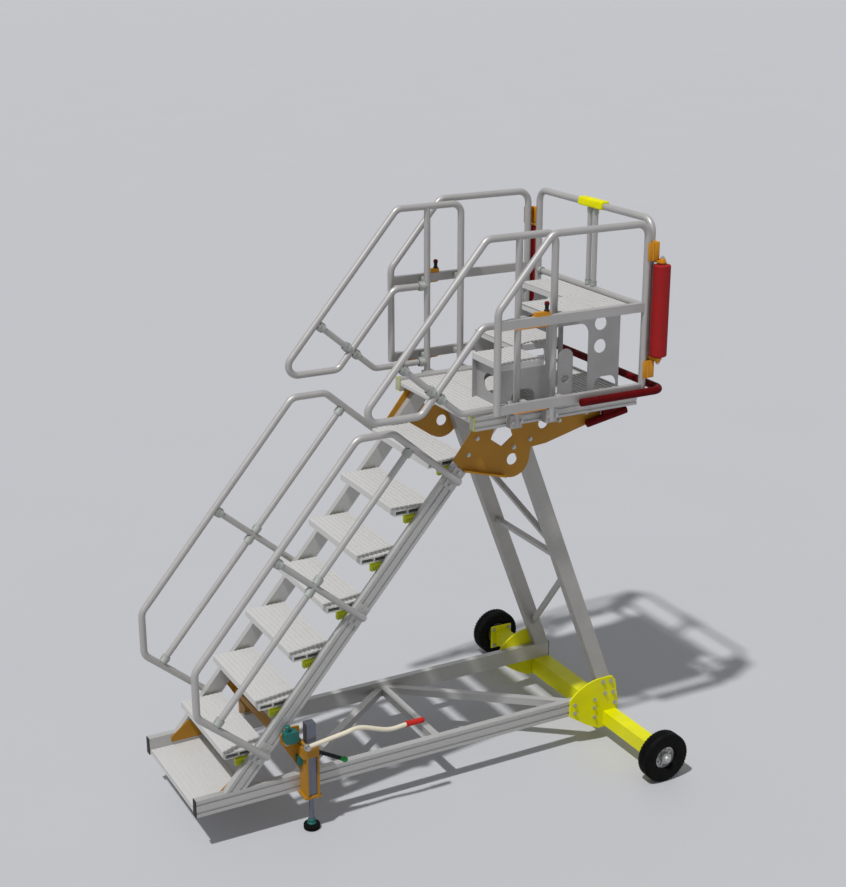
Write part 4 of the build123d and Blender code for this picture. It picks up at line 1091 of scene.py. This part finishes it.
class PLATFORM_OT_tyres(bpy.types.Operator):
    """Makes the tyres with grooved crowns and shoulder blocks"""

    bl_idname = "platform.tyres"
    bl_label = "Tyres"

    def execute(self, context):
        blocks = bar_grower("Tread Blocks", "tyre_rubber")
        for side in SIDES:
            body = f"wheel_{side}"
            wheel = JOINT_PLACE[f"{body}_spin"]
            stands = [(wheel, Y_WAY)]
            profile = tyre_profile(wheel.z)
            tyre = turned(f"tyre_tread_{side}", profile, stands, TYRE_SIDES, body, "tyre_rubber")
            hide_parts(f"tyre_{side}")
            blocks.grow(f"tread_blocks_{side}", self.blocks(wheel), body, "tyre_rubber")
        return {"FINISHED"}

    def blocks(self, wheel):
        """Spots of the blocks, on one shoulder and the other in turn."""
        number = bpy.context.scene.platform_sizes.tread_blocks
        spots = []
        for step, angle in enumerate(circle(2 * number)):
            edge = 1 if step % 2 else -1
            spoke = Vector((cos(angle), 0, sin(angle)))
            along = Vector((-sin(angle), 0, cos(angle)))
            facing = cos(SHOULDER_ANGLE) * spoke + edge * sin(SHOULDER_ANGLE) * Y_WAY
            start = (wheel.z - TYRE_SHOULDER) * spoke + edge * (TYRE_HALF - TYRE_SHOULDER) * Y_WAY
            spots.append(Spot(wheel + start + TYRE_SHOULDER * facing, facing, along, TREAD_BLOCK))
        return spots


# Wheel centres: nuts and spokes on the dish, cap over the spindle
HUB_NUTS, HUB_CIRCLE, DISH_FLOOR, NUT_SPAN = 5, 0.045, 0.010, (0.7, 0.7, 0.8)
SPOKE, HUB_SIDES = (0.026, 0.011, 0.010), 48
HUB_CAP = (
    (0.0, 0.0565), (0.0165, 0.0545), (0.0175, 0.042), (0.028, 0.0422), (0.028, 0.046), (0.0225, 0.048),
    (0.0215, 0.054), (0.018, 0.058), (0.010, 0.0605), (0.0, 0.061),
)


class PLATFORM_OT_wheel_centres(bpy.types.Operator):
    """Adds nuts, spokes and hub caps to the wheels"""

    bl_idname = "platform.wheel_centres"
    bl_label = "Wheel centres"

    def execute(self, context):
        bolts = bolt_grower()
        bars = bar_grower("Wheel Spokes", "rim_steel")
        for side, sign in SIDES.items():
            body = f"wheel_{side}"
            wheel = JOINT_PLACE[f"{body}_spin"]
            out = sign * Y_WAY
            nuts, spokes = [], []
            for number, angle in enumerate(circle(2 * HUB_NUTS)):
                radial = Vector((cos(angle), 0, sin(angle)))
                place = wheel + HUB_CIRCLE * radial + DISH_FLOOR * out
                if number % 2:
                    spokes.append(Spot(place, out, radial, SPOKE))
                else:
                    nuts.append(Spot(place, out, radial, NUT_SPAN))
            bolts.grow(f"wheel_nuts_{side}", nuts, body)
            bars.grow(f"wheel_spokes_{side}", spokes, body, "rim_steel")
            turned(f"hub_cap_{side}", HUB_CAP, [(wheel, out)], HUB_SIDES, body, "rim_steel")
        return {"FINISHED"}


# Jack fittings, by X from the foot, |Y| and Z: collar on a foot, pivot boss and stub beside the head
JACK_SIDES, STUB_SIDES, HANDLE_SIDES = 40, 28, 32
FOOT_COLLAR = (
    (0.0142, 0.030), (0.025, 0.030), (0.025, 0.036), (0.021, 0.041), (0.021, 0.058), (0.018, 0.062),
    (0.0142, 0.062),
)
BOSS_X, BOSS_FACE, BOSS_Z, BOSS_BOLT_SPAN = -0.116, 0.410, 0.537, (1.1, 1.1, 1.0)
BOSS = ((0.0, 0.0), (0.021, 0.0), (0.021, 0.012), (0.018, 0.014), (0.0, 0.014))
STUB_X, STUB_Y, STUB_Z = -0.118, 0.436, 0.600
STUB = (
    (0.0, 0.0), (0.012, 0.0), (0.012, 0.034), (0.016, 0.036), (0.016, 0.046), (0.012, 0.050),
    (0.0, 0.050),
)

# Release handle by X from the foot and Z, with its rings as share of a ring and depth
HANDLE_START, HANDLE_END, HANDLE_TIP = (0.046, 0.470), (0.209, 0.377), 0.048
HANDLE_RADIUS, HANDLE_RINGS = 0.0115, 7
HANDLE_RING = ((0.0, 0.0), (0.70, 0.0), (0.75, 0.0015), (0.95, 0.0015))
TIP = (
    (0.0, 0.0), (0.012, 0.0), (0.013, 0.002), (0.013, 0.022), (0.016, 0.030), (0.016, 0.042),
    (0.011, 0.050), (0.0, 0.052),
)

# Pump lever by X and Z from its pin, with the rings of its grip as share of a ring and rise
LEVER_ROUTE = ((0.012, 0.002), (0.216, 0.028), (0.320, 0.038), (0.486, -0.017), (0.604, -0.015))
LEVER_EYE = (
    (0.0083, -0.010), (0.017, -0.010), (0.019, -0.008), (0.019, 0.008), (0.017, 0.010), (0.0083, 0.010),
)
GRIP_RADIUS, GRIP_PLAIN = 0.0150, 0.010
GRIP_HEAD = ((0.0, 0.0), (0.0190, 0.0), (0.0190, 0.004), (GRIP_RADIUS, 0.007))
GRIP_RING = ((0.0, 0.0), (0.35, 0.0016), (0.65, 0.0016), (1.0, 0.0))
GRIP_TAIL = ((GRIP_RADIUS, 0.006), (0.011, 0.001), (0.0, 0.0))     # radius, way back from the end


class PLATFORM_OT_jack_fittings(bpy.types.Operator):
    """Adds collars, bosses, stubs, the release handle's sleeve and tip, the lever and its grip"""

    bl_idname = "platform.jack_fittings"
    bl_label = "Jack fittings"

    def execute(self, context):
        pivot = JOINT_PLACE["pump_lever_hinge"]
        bosses, stubs, bolts = [], [], []
        for side, sign in SIDES.items():
            out = sign * Y_WAY
            foot = middle(f"jack_stem_{side}")
            stands = [(Vector((foot.x, foot.y, 0)), Z_WAY)]
            body = f"jack_foot_{side}"
            turned(f"foot_collar_{side}", FOOT_COLLAR, stands, JACK_SIDES, body, "teal_paint")
            boss = Vector((foot.x + BOSS_X, sign * BOSS_FACE, BOSS_Z))
            bosses.append((boss, out))
            bolts.append(Spot(boss + BOSS[-1][1] * out, out, span=BOSS_BOLT_SPAN))
            stubs.append((Vector((foot.x + STUB_X, sign * STUB_Y, STUB_Z)), Z_WAY))
        turned("jack_bosses", BOSS, bosses, JACK_SIDES, "platform", "mustard_paint")
        turned("jack_stubs", STUB, stubs, STUB_SIDES, "platform", "teal_paint")
        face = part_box("jack_body_near")[0].y
        bolts.append(Spot(Vector((pivot.x, face, pivot.z)), -Y_WAY, span=BOSS_BOLT_SPAN))
        bolt_grower().grow("jack_bolts", bolts, "platform")
        self.handle()
        self.lever(context, pivot)
        self.grip(context)
        return {"FINISHED"}

    def handle(self):
        """The ringed sleeve and the green tip of the release handle."""
        foot = middle("jack_stem_near")
        y = middle("release_handle").y
        start, end = (Vector((foot.x + x, y, z)) for x, z in (HANDLE_START, HANDLE_END))
        way = (end - start).normalized()
        whole = (end - start).length - HANDLE_TIP
        pitch = whole / HANDLE_RINGS
        profile = [(0.0, 0.0)]
        for ring in range(HANDLE_RINGS):
            profile += [(HANDLE_RADIUS - deep, (ring + share) * pitch) for share, deep in HANDLE_RING]
        profile += [(HANDLE_RADIUS, whole), (0.0, whole)]
        turned("handle_sleeve", profile, [(start, way)], HANDLE_SIDES, "platform", "black_plastic")
        tip = [(end - HANDLE_TIP * way, way)]
        turned("handle_tip", TIP, tip, HANDLE_SIDES, "platform", finish="tip")

    def lever(self, context, pivot):
        """The bent lever and the steel eye on its pin."""
        path = smooth_path([pivot + Vector((x, 0, z)) for x, z in LEVER_ROUTE])
        bm = bmesh.new()
        tube_along(bm, path, context.scene.platform_sizes.lever_radius)
        lever = from_bmesh("bent_lever", bm, "pump_lever", "cream_paint")
        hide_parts("jack_lever")
        turned("lever_eye", LEVER_EYE, [(pivot, Y_WAY)], JACK_SIDES, "pump_lever", finish="bolt")

    def grip(self, context):
        """The ringed grip on the end of the pump lever."""
        low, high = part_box("lever_grip")
        centre = middle("lever_grip")
        stands = [(Vector((low.x, centre.y, centre.z)), X_WAY)]
        whole = high.x - low.x
        rings = context.scene.platform_sizes.grip_rings
        pitch = (whole - 2 * GRIP_PLAIN) / rings
        profile = [*GRIP_HEAD]
        for ring in range(rings):
            start = GRIP_PLAIN + ring * pitch
            profile += [(GRIP_RADIUS + rise, start + share * pitch) for share, rise in GRIP_RING]
        profile += [(radius, whole - back) for radius, back in GRIP_TAIL]
        grip = turned("ringed_grip", profile, stands, JACK_SIDES, "pump_lever", "grip_red")
        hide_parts("lever_grip")


# Knobs of the toggle clamps
KNOB_X, KNOB_Y, KNOB_BASE, KNOB_SIDES = 1.998, 0.610, 0.595, 32
KNOB = (
    (0.0, 0.0), (0.015, 0.0), (0.015, 0.006), (0.0105, 0.010), (0.0105, 0.026), (0.013, 0.032),
    (0.0135, 0.040), (0.0, 0.040),
)
KNOB_CAP = ((0.0, 0.040), (0.0135, 0.040), (0.0135, 0.046), (0.010, 0.051), (0.0, 0.053))


class PLATFORM_OT_toggle_knobs(bpy.types.Operator):
    """Adds dark knobs with red caps to the toggle clamps"""

    bl_idname = "platform.toggle_knobs"
    bl_label = "Toggle knobs"

    def execute(self, context):
        stands = []
        for sign in SIDES.values():
            place = Vector((FOOT_X + KNOB_X, sign * KNOB_Y, DECK_TOP + KNOB_BASE))
            stands.append((place, Z_WAY))
        turned("toggle_knobs", KNOB, stands, KNOB_SIDES, "platform", "black_plastic")
        turned("toggle_caps", KNOB_CAP, stands, KNOB_SIDES, "platform", "bumper_red")
        return {"FINISHED"}


# Light: sun that comes over the stair, surround for shading and for what is seen
SUN_WAY, SUN_STRENGTH, SUN_WIDTH = (1.45, 0.70, -3.22), 2.6, radians(2)
SURROUND, SURROUND_LIGHT, SURROUND_SEEN = (226, 227, 230), 0.38, 0.75
FLOOR_HALF = 200

# Camera read from the photograph, which is this many pixels wide and high
PHOTO_SIZE = (846, 887)
FOCAL_PIXELS = 1556.5
CAMERA_PLACE = (-3.7673, -7.3466, 4.7532)
CAMERA_AZIMUTH, CAMERA_ELEVATION = radians(-28.277), radians(18.546)
SENSOR = 36.0


class PLATFORM_OT_studio(bpy.types.Operator):
    """Adds the floor, the soft light and the camera"""

    bl_idname = "platform.studio"
    bl_label = "Studio"

    def execute(self, context):
        self.lay_floor(context)
        self.hang_sun(context)
        self.surround(context)
        self.set_camera(context)
        context.scene.view_settings.view_transform = "Standard"
        return {"FINISHED"}

    def lay_floor(self, context):
        """A wide plain floor."""
        bm = bmesh.new()
        bmesh.ops.create_grid(bm, x_segments=1, y_segments=1, size=FLOOR_HALF)
        mesh = bpy.data.meshes.new("floor")
        bm.to_mesh(mesh)
        bm.free()
        floor = bpy.data.objects.new("floor", mesh)
        context.scene.collection.objects.link(floor)
        finish = Finish("studio_floor", metallic=0.0, roughness=0.6)
        finish.shade(finish.grain(0.6), context.scene.platform_colours.floor, 0.008)
        mesh.materials.append(finish.material)

    def hang_sun(self, context):
        """A broad sun over the stair."""
        sun = bpy.data.lights.new("key", "SUN")
        sun.energy = SUN_STRENGTH
        sun.angle = SUN_WIDTH
        lamp = bpy.data.objects.new("key", sun)
        lamp.rotation_mode = "QUATERNION"
        lamp.rotation_quaternion = Vector(SUN_WAY).to_track_quat("-Z", "Y")
        context.scene.collection.objects.link(lamp)

    def surround(self, context):
        """An even pale surround, brighter where it is seen than where it lights."""
        world = bpy.data.worlds.new("surround")
        world.use_nodes = True
        context.scene.world = world
        tree = world.node_tree
        back = tree.nodes["Background"]
        back.inputs["Color"].default_value = (*srgb(*SURROUND), 1)
        rays = add_node(tree, "ShaderNodeLightPath").outputs
        seen = rays["Is Camera Ray"]
        for label in ("Is Glossy Ray", "Is Transmission Ray"):
            seen = reckon(tree, "MAXIMUM", seen, rays[label])
        span = {"To_Min": SURROUND_LIGHT, "To_Max": SURROUND_SEEN}
        strength = add_node(tree, "ShaderNodeMapRange", Value=seen, **span)
        feed(tree, back.inputs["Strength"], strength.outputs["Result"])

    def set_camera(self, context):
        """The camera where the photograph was taken."""
        lens = bpy.data.cameras.new("camera")
        lens.sensor_width = SENSOR
        lens.lens = SENSOR * FOCAL_PIXELS / max(PHOTO_SIZE)
        lens.clip_end = 3 * FLOOR_HALF
        camera = bpy.data.objects.new("camera", lens)
        camera.location = CAMERA_PLACE
        camera.rotation_euler = (pi / 2 - CAMERA_ELEVATION, 0, CAMERA_AZIMUTH)
        context.scene.collection.objects.link(camera)
        context.scene.camera = camera


PIECES = (
    PLATFORM_OT_paint,
    PLATFORM_OT_plank_ribs,
    PLATFORM_OT_tread_clips,
    PLATFORM_OT_deck_caps,
    PLATFORM_OT_guard_locks,
    PLATFORM_OT_roller_brackets,
    PLATFORM_OT_bolts,
    PLATFORM_OT_clamp_plates,
    PLATFORM_OT_tube_clamps,
    PLATFORM_OT_front_pad,
    PLATFORM_OT_tyres,
    PLATFORM_OT_wheel_centres,
    PLATFORM_OT_jack_fittings,
    PLATFORM_OT_toggle_knobs,
    PLATFORM_OT_studio,
)


class PLATFORM_PT_dressing(bpy.types.Panel):
    """Lists the steps that dress the platform"""

    bl_idname = "PLATFORM_PT_dressing"
    bl_label = "Access Platform"
    bl_space_type = "VIEW_3D"
    bl_region_type = "UI"
    bl_category = "Platform"

    def draw(self, context):
        for piece in PIECES:
            self.layout.operator(piece.bl_idname)
        for group in (context.scene.platform_sizes, context.scene.platform_colours):
            box = self.layout.box()
            for label in group.bl_rna.properties.keys()[2:]:
                box.prop(group, label)


CLASSES = (PlatformColours, PlatformSizes, *PIECES, PLATFORM_PT_dressing)


def register():
    for cls in CLASSES:
        bpy.utils.register_class(cls)
    bpy.types.Scene.platform_colours = PointerProperty(type=PlatformColours)
    bpy.types.Scene.platform_sizes = PointerProperty(type=PlatformSizes)


def unregister():
    del bpy.types.Scene.platform_sizes
    del bpy.types.Scene.platform_colours
    for cls in reversed(CLASSES):
        bpy.utils.unregister_class(cls)


def main():
    register()
    bpy.ops.platform.paint()
    bpy.ops.platform.plank_ribs()
    bpy.ops.platform.tread_clips()
    bpy.ops.platform.deck_caps()
    bpy.ops.platform.guard_locks()
    bpy.ops.platform.roller_brackets()
    bpy.ops.platform.bolts()
    bpy.ops.platform.clamp_plates()
    bpy.ops.platform.tube_clamps()
    bpy.ops.platform.front_pad()
    bpy.ops.platform.tyres()
    bpy.ops.platform.wheel_centres()
    bpy.ops.platform.jack_fittings()
    bpy.ops.platform.toggle_knobs()
    bpy.ops.platform.studio()


if __name__ == "__main__":
    main()
